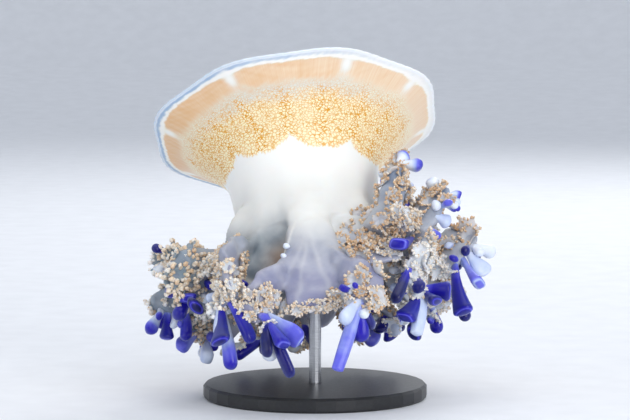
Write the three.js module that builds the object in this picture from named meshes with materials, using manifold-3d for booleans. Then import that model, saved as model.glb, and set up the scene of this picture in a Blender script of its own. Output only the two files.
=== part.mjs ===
// Fried-egg jellyfish (Cotylorhiza tuberculata), a young one at life size, with its bell banked
// back and its frilled arms spread, as it swims. A plain display stand carries it.
//
// Lengths are millimetres and +Z is up. The origin is on the floor, under the middle of the
// stand's base, and the animal's underside is turned to the front, -Y.
//
// The animal is worked out in its own frame, as fractions of the bell's radius: u to its right,
// v to its front and w up its axis, from the middle of the bell's rim. A place round the axis
// is written [azimuth, reach, drop]: degrees from the front towards the right, the distance
// from the axis, and the distance below the rim.

import * as THREE from 'three';
import { mergeVertices } from 'three/addons/utils/BufferGeometryUtils.js';
import Module from 'manifold-3d';

const wasm = await Module();
wasm.setup();

// ---- Driving dimensions ---------------------------------------------------------------------

const BELL_RADIUS = 60;
const GAP = 0.3; // clear space left between pieces that touch
const BELL_POSITION = new THREE.Vector3(-8, 34, 112); // middle of the bell's rim
const BANK = 31; // degrees that the axis leans back
const ROLL = 7.8; // degrees that the bell's left side hangs lower

// The bell, in bell radii
const DOME_PROFILE = [
  [0, 0.3], [0.2, 0.28], [0.38, 0.2], [0.52, 0.06], [0.66, -0.03], [0.8, -0.03], [0.93, 0.005],
  [1, 0.01],
];
const STALK_TOP_RADIUS = 0.545;
const STALK_TOP_DROP = 0.395;
const UNDERSIDE_CURVE = 1.35; // 1 is a plain cone, and more is a flared trumpet
const RIM_CORNERS = 8; // one for each sense organ
const RIM_CORNER_DEPTH = 0.02; // how far the corners stand out and the sides lie in
const RIM_CORNER_AZIMUTH = 22.5;
const REAR_SAG = 0.045; // how far the rim hangs lower at the back than at the front
const MARGIN_START = 0.93; // where the band of lappets joins the bell
const RIM_HALF_THICKNESS = 0.008;

// The stalk, which is the manubrium, in bell radii
const STALK_PROFILE = [
  [0.54, 0.395], [0.525, 0.48], [0.515, 0.65], [0.515, 0.82], [0.5, 0.97],
];
const STALK_ROOF_DROP = 0.86; // the hollow between the arms ends here
const STALK_LIP_RADIUS = 0.4;

// The arms, in bell radii
const WEB_RADIUS = [0.47, 0.4]; // of the thin skirt between the arms, at its top and its hem
const WEB_THICKNESS = 0.035;
const WEB_DROP = [1.42, 1.24]; // of its hem, at an arm and half-way to the next one
const TRUNK_HALF_WIDTH = [0.1, 0.13, 0.28]; // a fan: at its root, half-way and at its foot
const TRUNK_HALF_THICKNESS = [0.085, 0.075, 0.05];
const FORK_AT = 0.72; // of a trunk's length
const FORK_HALF_WIDTH = 0.12;
const BRANCH_HALF_WIDTH = [0.16, 0.27, 0.21];
const BRANCH_HALF_THICKNESS = [0.07, 0.1, 0.07];
const BRANCH_BOW = 0.06; // how far a branch bows outwards between its ends
const FRILL_LOBES = 4; // lobes of the frill along each edge of a branch
const FRILL_DEPTH = 0.3; // of the notches between them, as a share of the half-width

// Clubs, the swollen filaments of the arms: where each kind's girth changes, from its root
// at 0 to its tip at 1, and its radius there
const CLUB_GIRTH = {
  finger: [[0, 0.022], [0.5, 0.038], [0.93, 0.028]],
  trumpet: [[0, 0.022], [0.55, 0.034], [0.97, 0.064]],
  knob: [[0, 0.02], [0.74, 0.056], [0.96, 0.036]],
  tube: [[0, 0.034], [0.5, 0.044], [0.97, 0.034]],
  paddle: [[0, 0.02], [0.66, 0.066], [0.96, 0.036]],
};
const CLUB_ROOT_STEPS = 8; // places tried along a branch for a club's root
const CLUB_ROOT_REACH = 0.55; // of the branch's half-width, for those on its edges

// Each arm: the azimuth of its root on the stalk, where it forks, and where its branches end.
// A club is its tip's azimuth, reach and drop, and its kind.
const ARMS = [
  {
    name: 'front', root: 1, fork: [-1, 0.64, 1.68],
    left: {
      tip: [-34, 0.8, 1.76],
      clubs: [[-30, 0.75, 2.05, 'finger'], [-20, 0.74, 2.01, 'trumpet'], [-23, 0.6, 2.18, 'finger'],
        [-36, 0.62, 2.02, 'knob'], [-13, 0.62, 1.96, 'paddle']],
    },
    right: {
      tip: [27, 0.8, 1.8],
      clubs: [[4, 0.65, 2.22, 'tube'], [9, 0.81, 1.94, 'knob'], [21, 0.66, 2.02, 'knob'],
        [28, 0.7, 1.94, 'finger'], [31, 0.76, 1.82, 'trumpet']],
    },
  },
  {
    name: 'front_right', root: 53, fork: [54, 0.8, 1.12],
    left: {
      tip: [60, 0.7, 0.62],
      clubs: [[64, 0.8, 0.55, 'knob'], [67, 0.9, 0.66, 'knob']],
    },
    right: {
      tip: [70, 1.02, 0.98],
      clubs: [[66, 0.95, 0.77, 'knob'], [71, 1.09, 0.93, 'trumpet'], [69, 1.01, 1.14, 'knob'],
        [40, 0.87, 1.37, 'trumpet']],
    },
  },
  {
    name: 'right', root: 95, fork: [80, 0.8, 1.26],
    left: {
      tip: [52, 0.8, 1.6],
      clubs: [[50, 0.88, 1.68, 'finger'], [60, 0.9, 1.73, 'trumpet'], [39, 0.77, 1.76, 'finger'],
        [46, 0.74, 1.85, 'trumpet'], [53, 0.75, 1.95, 'tube'], [66, 0.97, 1.64, 'trumpet']],
    },
    right: {
      tip: [88, 1.14, 1.1],
      clubs: [[90, 1.24, 1.22, 'knob'], [82, 1.1, 1.52, 'trumpet'], [88, 1.15, 1.4, 'paddle'],
        [84, 0.96, 1.7, 'trumpet']],
    },
  },
  {
    name: 'back_right', root: 138, fork: [130, 0.7, 1.16],
    left: {
      tip: [108, 0.9, 1.42],
      clubs: [[102, 0.6, 1.7, 'trumpet'], [118, 0.88, 1.58, 'knob'], [108, 1.04, 1.56, 'finger']],
    },
    right: {
      tip: [153, 0.9, 1.22],
      clubs: [[140, 0.8, 1.45, 'knob'], [153, 1.04, 1.34, 'trumpet'], [148, 0.68, 1.44, 'finger']],
    },
  },
  {
    name: 'back', root: 181, fork: [181, 0.7, 1.08],
    left: {
      tip: [166, 0.9, 1.2],
      clubs: [[168, 0.76, 1.4, 'trumpet'], [162, 1.04, 1.3, 'knob'], [156, 0.92, 1.4, 'paddle']],
    },
    right: {
      tip: [200, 0.9, 1.2],
      clubs: [[186, 0.66, 1.42, 'finger'], [196, 0.84, 1.4, 'knob'], [204, 1.04, 1.3, 'trumpet']],
    },
  },
  {
    name: 'back_left', root: 222, fork: [224, 0.72, 1.12],
    left: {
      tip: [212, 0.92, 1.24],
      clubs: [[214, 0.8, 1.42, 'trumpet'], [216, 1.05, 1.34, 'knob'], [226, 0.9, 1.46, 'finger']],
    },
    right: {
      tip: [246, 0.96, 1.34],
      clubs: [[250, 0.87, 1.6, 'knob'], [240, 0.99, 1.5, 'knob'], [253, 1.06, 1.48, 'knob']],
    },
  },
  {
    name: 'left', root: 263, fork: [264, 0.82, 1.1],
    left: {
      tip: [265, 1.2, 1.2],
      clubs: [[265, 1.2, 1.42, 'knob'], [258, 1.1, 1.44, 'trumpet'], [262, 0.95, 1.5, 'finger']],
    },
    right: {
      tip: [275, 1.0, 0.94],
      clubs: [[276, 1.01, 1.25, 'trumpet'], [270, 1.1, 1.04, 'knob']],
    },
  },
  {
    name: 'front_left', root: 305, fork: [305, 0.8, 1.24],
    left: {
      tip: [292, 1, 1.36],
      clubs: [[302, 0.95, 1.56, 'trumpet'], [296, 0.96, 1.44, 'trumpet'], [288, 1.02, 1.54, 'knob']],
    },
    right: {
      tip: [319, 0.92, 1.62],
      clubs: [[316, 0.97, 1.93, 'trumpet'], [325, 0.8, 1.94, 'finger'], [309, 0.8, 2.05, 'knob'],
        [312, 0.9, 1.84, 'knob']],
    },
  },
];

// The stand
const BASE_RADIUS = 46;
const BASE_THICKNESS = 6;
const BASE_CHAMFER = 1;
const ROD_RADIUS = 2.5;
const ROD_SOCKET_DEPTH = 4; // into the base
const ROD_TOP = 77; // above the floor, inside the stalk

const SEGMENTS = { bell: 32, stalk: 28, margin: 4, trunk: 6, branch: 6, club: 5, base: 36, rod: 12 };

// ---- The animal's own frame ---------------------------------------------------------------

const animalPose = new THREE.Matrix4().makeTranslation(BELL_POSITION)
  .multiply(new THREE.Matrix4().makeRotationY(-THREE.MathUtils.degToRad(ROLL)))
  .multiply(new THREE.Matrix4().makeRotationX(-THREE.MathUtils.degToRad(BANK)));

const AXIS = new THREE.Vector3(0, 0, 1);

function outward(azimuth) {
  const angle = THREE.MathUtils.degToRad(azimuth);
  return new THREE.Vector3(Math.sin(angle), -Math.cos(angle), 0);
}

function sideways(azimuth) {
  return outward(azimuth + 90);
}

function place([azimuth, reach, drop]) {
  return outward(azimuth).multiplyScalar(reach).addScaledVector(AXIS, -drop)
    .multiplyScalar(BELL_RADIUS);
}

// A value read off three that are evenly spaced from 0 to 1
function blend3([start, middle, end], t) {
  return t < 0.5
    ? THREE.MathUtils.lerp(start, middle, 2 * t)
    : THREE.MathUtils.lerp(middle, end, 2 * t - 1);
}

// ---- Closed geometry and joins ----------------------------------------------------------------

// Leaves only positions, with shared corners merged and collapsed triangles dropped
function closed(geometry) {
  geometry.deleteAttribute('normal');
  geometry.deleteAttribute('uv');
  const merged = mergeVertices(geometry, 1e-4);
  const index = merged.getIndex().array;
  const kept = [];
  for (let i = 0; i < index.length; i += 3) {
    const [a, b, c] = index.slice(i, i + 3);
    if (a !== b && b !== c && c !== a) kept.push(a, b, c);
  }
  merged.setIndex(kept);
  return merged;
}

function moveVertices(geometry, move) {
  const position = geometry.getAttribute('position');
  const point = new THREE.Vector3();
  for (let i = 0; i < position.count; i += 1) {
    point.fromBufferAttribute(position, i);
    const moved = move(point);
    position.setXYZ(i, moved.x, moved.y, moved.z);
  }
  return geometry;
}

function toSolid(geometry) {
  return new wasm.Manifold(new wasm.Mesh({
    numProp: 3,
    vertProperties: new Float32Array(geometry.getAttribute('position').array),
    triVerts: new Uint32Array(geometry.getIndex().array),
  }));
}

function toGeometry(solid) {
  const mesh = solid.getMesh();
  const geometry = new THREE.BufferGeometry();
  geometry.setAttribute('position', new THREE.BufferAttribute(mesh.vertProperties, 3));
  geometry.setIndex(new THREE.BufferAttribute(mesh.triVerts, 1));
  return geometry;
}

function join(solids) {
  return solids.reduce((whole, solid) => whole.add(solid));
}

function largestPart(solid) {
  return solid.decompose().reduce((a, b) => (a.volume() > b.volume() ? a : b));
}

// A lathe about the axis, from points [radius, height] given from the bottom axis point up
function turned(points, segments) {
  const profile = points.map(([radius, height]) => new THREE.Vector2(radius, height));
  return closed(new THREE.LatheGeometry(profile, segments)).rotateX(Math.PI / 2);
}

// ---- Bell ---------------------------------------------------------------------------------------

const domeCurve = new THREE.SplineCurve(
  DOME_PROFILE.map(([radius, height]) => new THREE.Vector2(radius, height)),
);

// Height of the upper surface at a distance from the axis, both in bell radii
function domeHeight(radius) {
  let low = 0;
  let high = 1;
  for (let i = 0; i < 24; i += 1) {
    const middle = (low + high) / 2;
    if (domeCurve.getPoint(middle).x < radius) low = middle;
    else high = middle;
  }
  return domeCurve.getPoint(low).y;
}

function undersideHeight(radius) {
  const inFromRim = (1 - radius) / (1 - STALK_TOP_RADIUS);
  return -STALK_TOP_DROP * inFromRim ** UNDERSIDE_CURVE - RIM_HALF_THICKNESS;
}

// Draws the round bell out to its corners and lets its rear sag, from the stalk out to the rim
function shapedRim(point) {
  const radius = Math.hypot(point.x, point.y) / BELL_RADIUS;
  const outwards = Math.max(0, (radius - STALK_TOP_RADIUS) / (1 - STALK_TOP_RADIUS)) ** 2;
  const azimuth = Math.atan2(point.x, -point.y);
  const corner = THREE.MathUtils.degToRad(RIM_CORNER_AZIMUTH);
  const stretch = 1 + RIM_CORNER_DEPTH * outwards * Math.cos(RIM_CORNERS * (azimuth - corner));
  const sag = (REAR_SAG * BELL_RADIUS * outwards * (1 - Math.cos(azimuth))) / 2;
  return new THREE.Vector3(point.x * stretch, point.y * stretch, point.z - sag);
}

function bellSolid() {
  const edge = MARGIN_START - GAP / BELL_RADIUS;
  const upper = [edge, 0.8, 0.66, 0.52, 0.38, 0.2, 0].map((radius) => [radius, domeHeight(radius)]);
  const lower = [STALK_TOP_RADIUS, 0.65, 0.75, 0.84, edge]
    .map((radius) => [radius, undersideHeight(radius)]);
  const profile = [[0, lower[0][1]], ...lower, ...upper];
  const points = profile.map(([radius, height]) => [radius * BELL_RADIUS, height * BELL_RADIUS]);
  return toSolid(moveVertices(turned(points, SEGMENTS.bell), shapedRim));
}

// One length of the marginal band, between two of the rim's corners: a box bent round the rim
function lappetSolid(index) {
  const span = 360 / RIM_CORNERS;
  const start = RIM_CORNER_AZIMUTH + index * span;
  const clearance = THREE.MathUtils.radToDeg(GAP / 2 / BELL_RADIUS);
  const box = closed(new THREE.BoxGeometry(1, 1, 1, SEGMENTS.margin, 2, 1));
  return toSolid(moveVertices(box, (point) => {
    const azimuth = THREE.MathUtils.lerp(start + clearance, start + span - clearance, point.x + 0.5);
    const radius = THREE.MathUtils.lerp(1, MARGIN_START, point.y + 0.5);
    const height = point.z > 0 ? domeHeight(radius) : undersideHeight(radius);
    return shapedRim(place([azimuth, radius, -height]));
  }));
}

// ---- Stalk ----------------------------------------------------------------------------------------

function stalkSolid(grow) {
  const outer = STALK_PROFILE.map(([radius, drop]) => [radius * BELL_RADIUS, -drop * BELL_RADIUS]);
  const topHeight = outer[0][1] - RIM_HALF_THICKNESS * BELL_RADIUS - GAP;
  outer[0][1] = topHeight;
  const foot = outer[outer.length - 1][1];
  const points = [
    [0, -STALK_ROOF_DROP * BELL_RADIUS - grow],
    [STALK_LIP_RADIUS * 0.7 * BELL_RADIUS, -STALK_ROOF_DROP * BELL_RADIUS - grow],
    [STALK_LIP_RADIUS * BELL_RADIUS, foot - grow],
    [outer[outer.length - 1][0] + grow, foot - grow],
    ...outer.slice(0, -1).reverse().map(([radius, height]) => [radius + grow, height]),
    [0, topHeight],
  ];
  return toSolid(turned(points, SEGMENTS.stalk));
}

// ---- Ribbons: the trunks and branches of the arms ----------------------------------------------

// The directions of a ribbon at t: along it, and square to that across its width and thickness
function ribbonFrame(curve, widthWays, t) {
  const along = curve.getTangent(t);
  const wide = widthWays.clone().addScaledVector(along, -widthWays.dot(along)).normalize();
  return { along, wide, thick: new THREE.Vector3().crossVectors(wide, along) };
}

// A bar of flattened section along a curve. Its width lies as near widthWays as the curve lets it.
function ribbonSolid(curve, widthWays, halfWidth, halfThickness, sides, steps, grow) {
  const bar = closed(new THREE.CylinderGeometry(1, 1, 1, sides, steps));
  return toSolid(moveVertices(bar, (point) => {
    const t = THREE.MathUtils.clamp(point.y + 0.5, 0, 1);
    const { along, wide, thick } = ribbonFrame(curve, widthWays, t);
    const overshoot = (2 * t - 1) * grow;
    return curve.getPoint(t)
      .addScaledVector(along, overshoot)
      .addScaledVector(wide, point.x * (halfWidth(t) * BELL_RADIUS + grow))
      .addScaledVector(thick, point.z * (halfThickness(t) * BELL_RADIUS + grow));
  }));
}

function trunkCurve(arm) {
  const [forkAzimuth, forkReach, forkDrop] = arm.fork;
  return new THREE.CatmullRomCurve3([
    place([arm.root, 0.42, 0.84]),
    place([(arm.root + forkAzimuth) / 2, 0.46 + 0.25 * (forkReach - 0.46), 1.08]),
    place([forkAzimuth, forkReach, forkDrop]),
  ]);
}

// The thin skirt below the stalk between this arm and the next ones on both sides
function webSolid(arm, from, to, grow) {
  const box = closed(new THREE.BoxGeometry(1, 1, 1, 4, 1, 2));
  const margin = THREE.MathUtils.radToDeg((GAP / 2 - grow) / (WEB_RADIUS[1] * BELL_RADIUS));
  const top = STALK_PROFILE[STALK_PROFILE.length - 1][1] + GAP / BELL_RADIUS;
  return toSolid(moveVertices(box, (point) => {
    const azimuth = THREE.MathUtils.lerp(from + margin, to - margin, point.x + 0.5);
    const reachAway = azimuth < arm.root ? arm.root - from : to - arm.root;
    const away = Math.abs(azimuth - arm.root) / reachAway;
    const hem = THREE.MathUtils.lerp(WEB_DROP[0], WEB_DROP[1], away ** 2);
    const down = 0.5 - point.z;
    const across = point.y * (WEB_THICKNESS + 2 * grow / BELL_RADIUS);
    const radius = THREE.MathUtils.lerp(WEB_RADIUS[0], WEB_RADIUS[1], down) - across;
    return place([azimuth, radius, THREE.MathUtils.lerp(top, hem, down)]);
  }));
}

function trunkSolid(arm, from, to, grow) {
  const rib = ribbonSolid(trunkCurve(arm), sideways(arm.fork[0]),
    (t) => blend3(TRUNK_HALF_WIDTH, t), (t) => blend3(TRUNK_HALF_THICKNESS, t),
    SEGMENTS.trunk, 3, grow);
  return rib.add(webSolid(arm, from, to, grow));
}

function branchCurve(arm, side) {
  const branch = arm[side];
  const acrossFork = (side === 'right' ? FORK_HALF_WIDTH : -FORK_HALF_WIDTH) * BELL_RADIUS;
  const start = trunkCurve(arm).getPoint(FORK_AT)
    .addScaledVector(sideways(arm.fork[0]), acrossFork);
  const tip = place(branch.tip);
  const middle = start.clone().lerp(tip, 0.5);
  const bow = new THREE.Vector3(middle.x, middle.y, 0).normalize();
  middle.addScaledVector(bow, BRANCH_BOW * BELL_RADIUS);
  return new THREE.CatmullRomCurve3([start, middle, tip]);
}

// A branch hangs like a curtain: its width lies along the axis, turned a little sideways
function branchWidthWays(branch) {
  return AXIS.clone().addScaledVector(sideways(branch.tip[0]), 0.35).normalize();
}

// The point nearest to a club's tip, of those along the middle and both edges of a branch
function clubRoot(curve, widthWays, tip) {
  const candidates = [];
  for (let i = 1; i < CLUB_ROOT_STEPS; i += 1) {
    const t = i / CLUB_ROOT_STEPS;
    const { wide } = ribbonFrame(curve, widthWays, t);
    const edge = CLUB_ROOT_REACH * blend3(BRANCH_HALF_WIDTH, t) * BELL_RADIUS;
    [-edge, 0, edge].forEach((offset) => {
      candidates.push(curve.getPoint(t).addScaledVector(wide, offset));
    });
  }
  return candidates.reduce((a, b) => (a.distanceTo(tip) < b.distanceTo(tip) ? a : b));
}

// A filament from a branch to its tip, swollen on the way
function clubSolid(curve, widthWays, [azimuth, reach, drop, kind], grow) {
  const tip = place([azimuth, reach, drop]);
  const root = clubRoot(curve, widthWays, tip);
  const length = root.distanceTo(tip);
  const points = CLUB_GIRTH[kind].map(([station, radius]) => [
    radius * BELL_RADIUS + grow, station * (length + grow),
  ]);
  const club = turned([[0, 0], ...points, [0, length + grow]], SEGMENTS.club);
  const turn = new THREE.Quaternion()
    .setFromUnitVectors(AXIS, tip.clone().sub(root).normalize());
  return toSolid(club.applyQuaternion(turn).translate(root.x, root.y, root.z));
}

function branchSolid(arm, side, grow) {
  const branch = arm[side];
  const curve = branchCurve(arm, side);
  const frilledHalfWidth = (t) => blend3(BRANCH_HALF_WIDTH, t)
    * (1 - FRILL_DEPTH * Math.cos(FRILL_LOBES * Math.PI * t) ** 2);
  const widthWays = branchWidthWays(branch);
  const ribbon = ribbonSolid(curve, widthWays, frilledHalfWidth,
    (t) => blend3(BRANCH_HALF_THICKNESS, t), SEGMENTS.branch, 2 * FRILL_LOBES, grow);
  return join([ribbon, ...branch.clubs.map((club) => clubSolid(curve, widthWays, club, grow))]);
}

// ---- Stand -------------------------------------------------------------------------------------

function rodSolid(radius, bottom, top) {
  const height = top - bottom;
  const rod = closed(new THREE.CylinderGeometry(radius, radius, height, SEGMENTS.rod));
  return toSolid(rod.rotateX(Math.PI / 2).translate(0, 0, bottom + height / 2));
}

function baseSolid() {
  const shoulder = BASE_RADIUS - BASE_CHAMFER;
  const plate = toSolid(turned([
    [0, 0], [shoulder, 0], [BASE_RADIUS, BASE_CHAMFER],
    [BASE_RADIUS, BASE_THICKNESS - BASE_CHAMFER], [shoulder, BASE_THICKNESS], [0, BASE_THICKNESS],
  ], SEGMENTS.base));
  const socketFloor = BASE_THICKNESS - ROD_SOCKET_DEPTH - GAP;
  return plate.subtract(rodSolid(ROD_RADIUS + GAP, socketFloor, BASE_THICKNESS + 1));
}

// ---- Assembly -----------------------------------------------------------------------------------

function finish(colour, roughness, metalness = 0) {
  return new THREE.MeshStandardMaterial({ color: colour, roughness, metalness });
}

const group = new THREE.Group();
group.name = 'fried_egg_jellyfish';

function addPiece(name, solid, material) {
  const mesh = new THREE.Mesh(toGeometry(solid), material);
  mesh.name = name;
  group.add(mesh);
}

const posed = (solid) => solid.transform(animalPose.toArray());

addPiece('stand_base', baseSolid(), finish(0x2a2b2e, 0.45));
addPiece('stand_rod', rodSolid(ROD_RADIUS, BASE_THICKNESS - ROD_SOCKET_DEPTH, ROD_TOP),
  finish(0xb9bcc0, 0.3, 1));

addPiece('bell', posed(bellSolid()), finish(0xe0b878, 0.4));
for (let i = 0; i < RIM_CORNERS; i += 1) {
  addPiece(`lappets_${i + 1}`, posed(lappetSolid(i)), finish(0xa9c4e6, 0.35));
}

const rodHole = rodSolid(ROD_RADIUS + GAP, 0, ROD_TOP + GAP);
addPiece('manubrium', posed(stalkSolid(0)).subtract(rodHole), finish(0xf0f0ec, 0.45));

// Flesh is laid down from the stalk outwards, each piece cut back clear of the ones before it
const laid = [posed(stalkSolid(GAP)), rodHole];

function addFlesh(name, build, material) {
  const solid = laid.reduce((left, other) => left.subtract(other), posed(build(0)));
  addPiece(name, largestPart(solid), material);
  laid.push(posed(build(GAP)));
}

ARMS.forEach((arm, i) => {
  const before = ARMS[(i + ARMS.length - 1) % ARMS.length].root;
  const after = ARMS[(i + 1) % ARMS.length].root;
  const from = (arm.root + before - (before > arm.root ? 360 : 0)) / 2;
  const to = (arm.root + after + (after < arm.root ? 360 : 0)) / 2;
  addFlesh(`arm_${arm.name}`, (grow) => trunkSolid(arm, from, to, grow), finish(0xc9cfd8, 0.4));
});

ARMS.forEach((arm) => {
  ['left', 'right'].forEach((side) => {
    addFlesh(`arm_${arm.name}_branch_${side}`,
      (grow) => branchSolid(arm, side, grow), finish(0xc8b8b4, 0.45));
  });
});

export default group;
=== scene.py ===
"""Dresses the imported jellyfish: a young Cotylorhiza tuberculata on a plain display stand.

One skin replaces every piece of flesh. Its bell and the top of its stalk are one turned surface.
The foot of the stalk and the arms are a field of soft ribbons turned into a mesh, whose upper edge
meets that surface. Over the skin lie the frills, which are ruffled lobes rimmed with beads, and
the clubs, which are the swollen filaments of the arms.

Shapes are worked out in the animal's own frame in millimetres, as in the CAD source: u to its
right, v to its back and w up its axis, from the middle of the bell's rim. A place round the axis
is (azimuth, reach, drop): degrees from the front towards the right, then the distance from the
axis and below the rim, both in bell radii.
"""

import math

import bmesh
import bpy
import numpy as np
import openvdb
from mathutils import Matrix, Vector
from mathutils.bvhtree import BVHTree


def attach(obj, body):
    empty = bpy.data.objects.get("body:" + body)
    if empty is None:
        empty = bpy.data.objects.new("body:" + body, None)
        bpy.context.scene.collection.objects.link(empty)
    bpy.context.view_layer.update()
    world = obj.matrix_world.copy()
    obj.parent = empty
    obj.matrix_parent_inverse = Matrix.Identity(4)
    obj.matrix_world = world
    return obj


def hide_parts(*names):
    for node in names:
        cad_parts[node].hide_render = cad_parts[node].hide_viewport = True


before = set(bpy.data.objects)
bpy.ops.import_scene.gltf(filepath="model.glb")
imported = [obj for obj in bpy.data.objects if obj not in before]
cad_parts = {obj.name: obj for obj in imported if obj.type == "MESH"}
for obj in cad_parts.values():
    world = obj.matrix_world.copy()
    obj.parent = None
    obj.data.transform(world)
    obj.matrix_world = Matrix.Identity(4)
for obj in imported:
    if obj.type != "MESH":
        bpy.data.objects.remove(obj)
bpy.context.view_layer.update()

# ---- Driving dimensions, the same as the CAD's ---------------------------------------------------

MM = 0.001
BELL_RADIUS = 60.0
BELL_POSITION = Vector((-8.0, 34.0, 112.0))
BANK = 31.0
ROLL = 7.8

DOME_PROFILE = [(0, 0.3), (0.2, 0.28), (0.38, 0.2), (0.52, 0.06), (0.66, -0.03), (0.8, -0.03),
                (0.93, 0.005), (1, 0.01)]
STALK_TOP_RADIUS = 0.545
STALK_TOP_DROP = 0.395
UNDERSIDE_CURVE = 1.35
RIM_CORNERS = 8
RIM_CORNER_DEPTH = 0.02
RIM_CORNER_AZIMUTH = 22.5
REAR_SAG = 0.045
RIM_HALF_THICKNESS = 0.008

STALK_PROFILE = [(0.54, 0.395), (0.525, 0.48), (0.515, 0.65), (0.515, 0.82), (0.5, 0.97)]
STALK_ROOF_DROP = 0.86
STALK_LIP_RADIUS = 0.4

WEB_THICKNESS = 0.035
WEB_DROP = (1.42, 1.24)
FORK_AT = 0.72
FORK_HALF_WIDTH = 0.12
BRANCH_HALF_THICKNESS = (0.07, 0.1, 0.07)
BRANCH_BOW = 0.06

ROD_RADIUS = 2.5
ROD_TOP = 77.0

# Each arm: its name, the azimuth of its root, where it forks, and for both branches the place of
# the tip and the clubs. A club is its tip's azimuth, reach and drop, its kind, and its shade.
ARMS = [
    ("front", 1, (-1, 0.64, 1.68),
     ((-34, 0.8, 1.76), [
         (-30, 0.75, 2.05, "finger", "navy"), (-20, 0.74, 2.01, "trumpet", "violet"),
         (-23, 0.6, 2.18, "finger", "deep"), (-36, 0.62, 2.02, "knob", "white"),
         (-13, 0.62, 1.96, "paddle", "sky")]),
     ((27, 0.8, 1.8), [
         (4, 0.65, 2.22, "tube", "lavender"), (9, 0.81, 1.94, "knob", "pale"),
         (21, 0.66, 2.02, "knob", "violet"), (28, 0.7, 1.94, "finger", "deep"),
         (31, 0.76, 1.82, "trumpet", "blue")])),
    ("front_right", 53, (54, 0.8, 1.12),
     ((60, 0.7, 0.62), [
         (64, 0.8, 0.55, "knob", "eyed"), (67, 0.9, 0.66, "knob", "eyed")]),
     ((70, 1.02, 0.98), [
         (66, 0.95, 0.77, "knob", "white"), (71, 1.09, 0.93, "trumpet", "disc"),
         (69, 1.01, 1.14, "knob", "pale"), (40, 0.87, 1.37, "trumpet", "violet")])),
    ("right", 95, (80, 0.8, 1.26),
     ((52, 0.8, 1.6), [
         (50, 0.88, 1.68, "finger", "deep"), (60, 0.9, 1.73, "trumpet", "deep"),
         (39, 0.77, 1.76, "finger", "navy"), (46, 0.74, 1.85, "trumpet", "blue"),
         (53, 0.75, 1.95, "tube", "pale"), (66, 0.97, 1.64, "trumpet", "blue")]),
     ((88, 1.14, 1.1), [
         (90, 1.24, 1.22, "knob", "white"), (82, 1.1, 1.52, "trumpet", "lavender"),
         (88, 1.15, 1.4, "paddle", "pale"), (84, 0.96, 1.7, "trumpet", "blue")])),
    ("back_right", 138, (130, 0.7, 1.16),
     ((108, 0.9, 1.42), [
         (102, 0.6, 1.7, "trumpet", "navy"), (118, 0.88, 1.58, "knob", "violet"),
         (108, 1.04, 1.56, "finger", "deep")]),
     ((153, 0.9, 1.22), [
         (140, 0.8, 1.45, "knob", "pale"), (153, 1.04, 1.34, "trumpet", "blue"),
         (148, 0.68, 1.44, "finger", "deep")])),
    ("back", 181, (181, 0.7, 1.08),
     ((166, 0.9, 1.2), [
         (168, 0.76, 1.4, "trumpet", "violet"), (162, 1.04, 1.3, "knob", "eyed"),
         (156, 0.92, 1.4, "paddle", "sky")]),
     ((200, 0.9, 1.2), [
         (186, 0.66, 1.42, "finger", "deep"), (196, 0.84, 1.4, "knob", "white"),
         (204, 1.04, 1.3, "trumpet", "blue")])),
    ("back_left", 222, (224, 0.72, 1.12),
     ((212, 0.92, 1.24), [
         (214, 0.8, 1.42, "trumpet", "deep"), (216, 1.05, 1.34, "knob", "lavender"),
         (226, 0.9, 1.46, "finger", "violet")]),
     ((246, 0.96, 1.34), [
         (250, 0.87, 1.6, "knob", "pale"), (240, 0.99, 1.5, "knob", "white"),
         (253, 1.06, 1.48, "knob", "lavender")])),
    ("left", 263, (264, 0.82, 1.1),
     ((265, 1.2, 1.2), [
         (265, 1.2, 1.42, "knob", "eyed"), (258, 1.1, 1.44, "trumpet", "blue"),
         (262, 0.95, 1.5, "finger", "violet")]),
     ((275, 1.0, 0.94), [
         (276, 1.01, 1.25, "trumpet", "blue"), (270, 1.1, 1.04, "knob", "white")])),
    ("front_left", 305, (305, 0.8, 1.24),
     ((292, 1, 1.36), [
         (302, 0.95, 1.56, "trumpet", "navy"), (296, 0.96, 1.44, "trumpet", "violet"),
         (288, 1.02, 1.54, "knob", "blue")]),
     ((319, 0.92, 1.62), [
         (316, 0.97, 1.93, "trumpet", "deep"), (325, 0.8, 1.94, "finger", "blue"),
         (309, 0.8, 2.05, "knob", "eyed"), (312, 0.9, 1.84, "knob", "pale")])),
]

# ---- What the scene adds -------------------------------------------------------------------------

# Camera: its distance and elevation from the middle of the bell's rim, and how far from there, in
# mm, is the point that it looks at
CAMERA_AIM = Vector((8.2, 0.0, -37.6))
CAMERA_DISTANCE = 1.2
CAMERA_ELEVATION = 3.0
CAMERA_LENS = 163.0

# Studio, in metres: the floor's outline from the middle outwards as (radius, height), and each
# lamp's azimuth, elevation, distance, size and power
FLOOR_PROFILE = [(0.4, 0.0), (1.9, 0.0), (2.35, 0.06), (2.68, 0.24), (2.86, 0.55), (2.92, 1.0),
                 (2.92, 3.2)]
FLOOR_SIDES = 96
LAMPS = {
    "key": (30, 17, 1.3, 0.8, 8),
    "fill": (-50, 10, 1.5, 1.0, 4),
    "top": (0, 80, 1.6, 1.4, 6),
    "rim": (160, 35, 1.4, 0.7, 6),
}
LAMP_AIM = Vector((0.0, 0.01, 0.08))
WORLD_COLOUR = (0.9, 0.94, 1.0, 1.0)
WORLD_STRENGTH = 0.75

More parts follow.
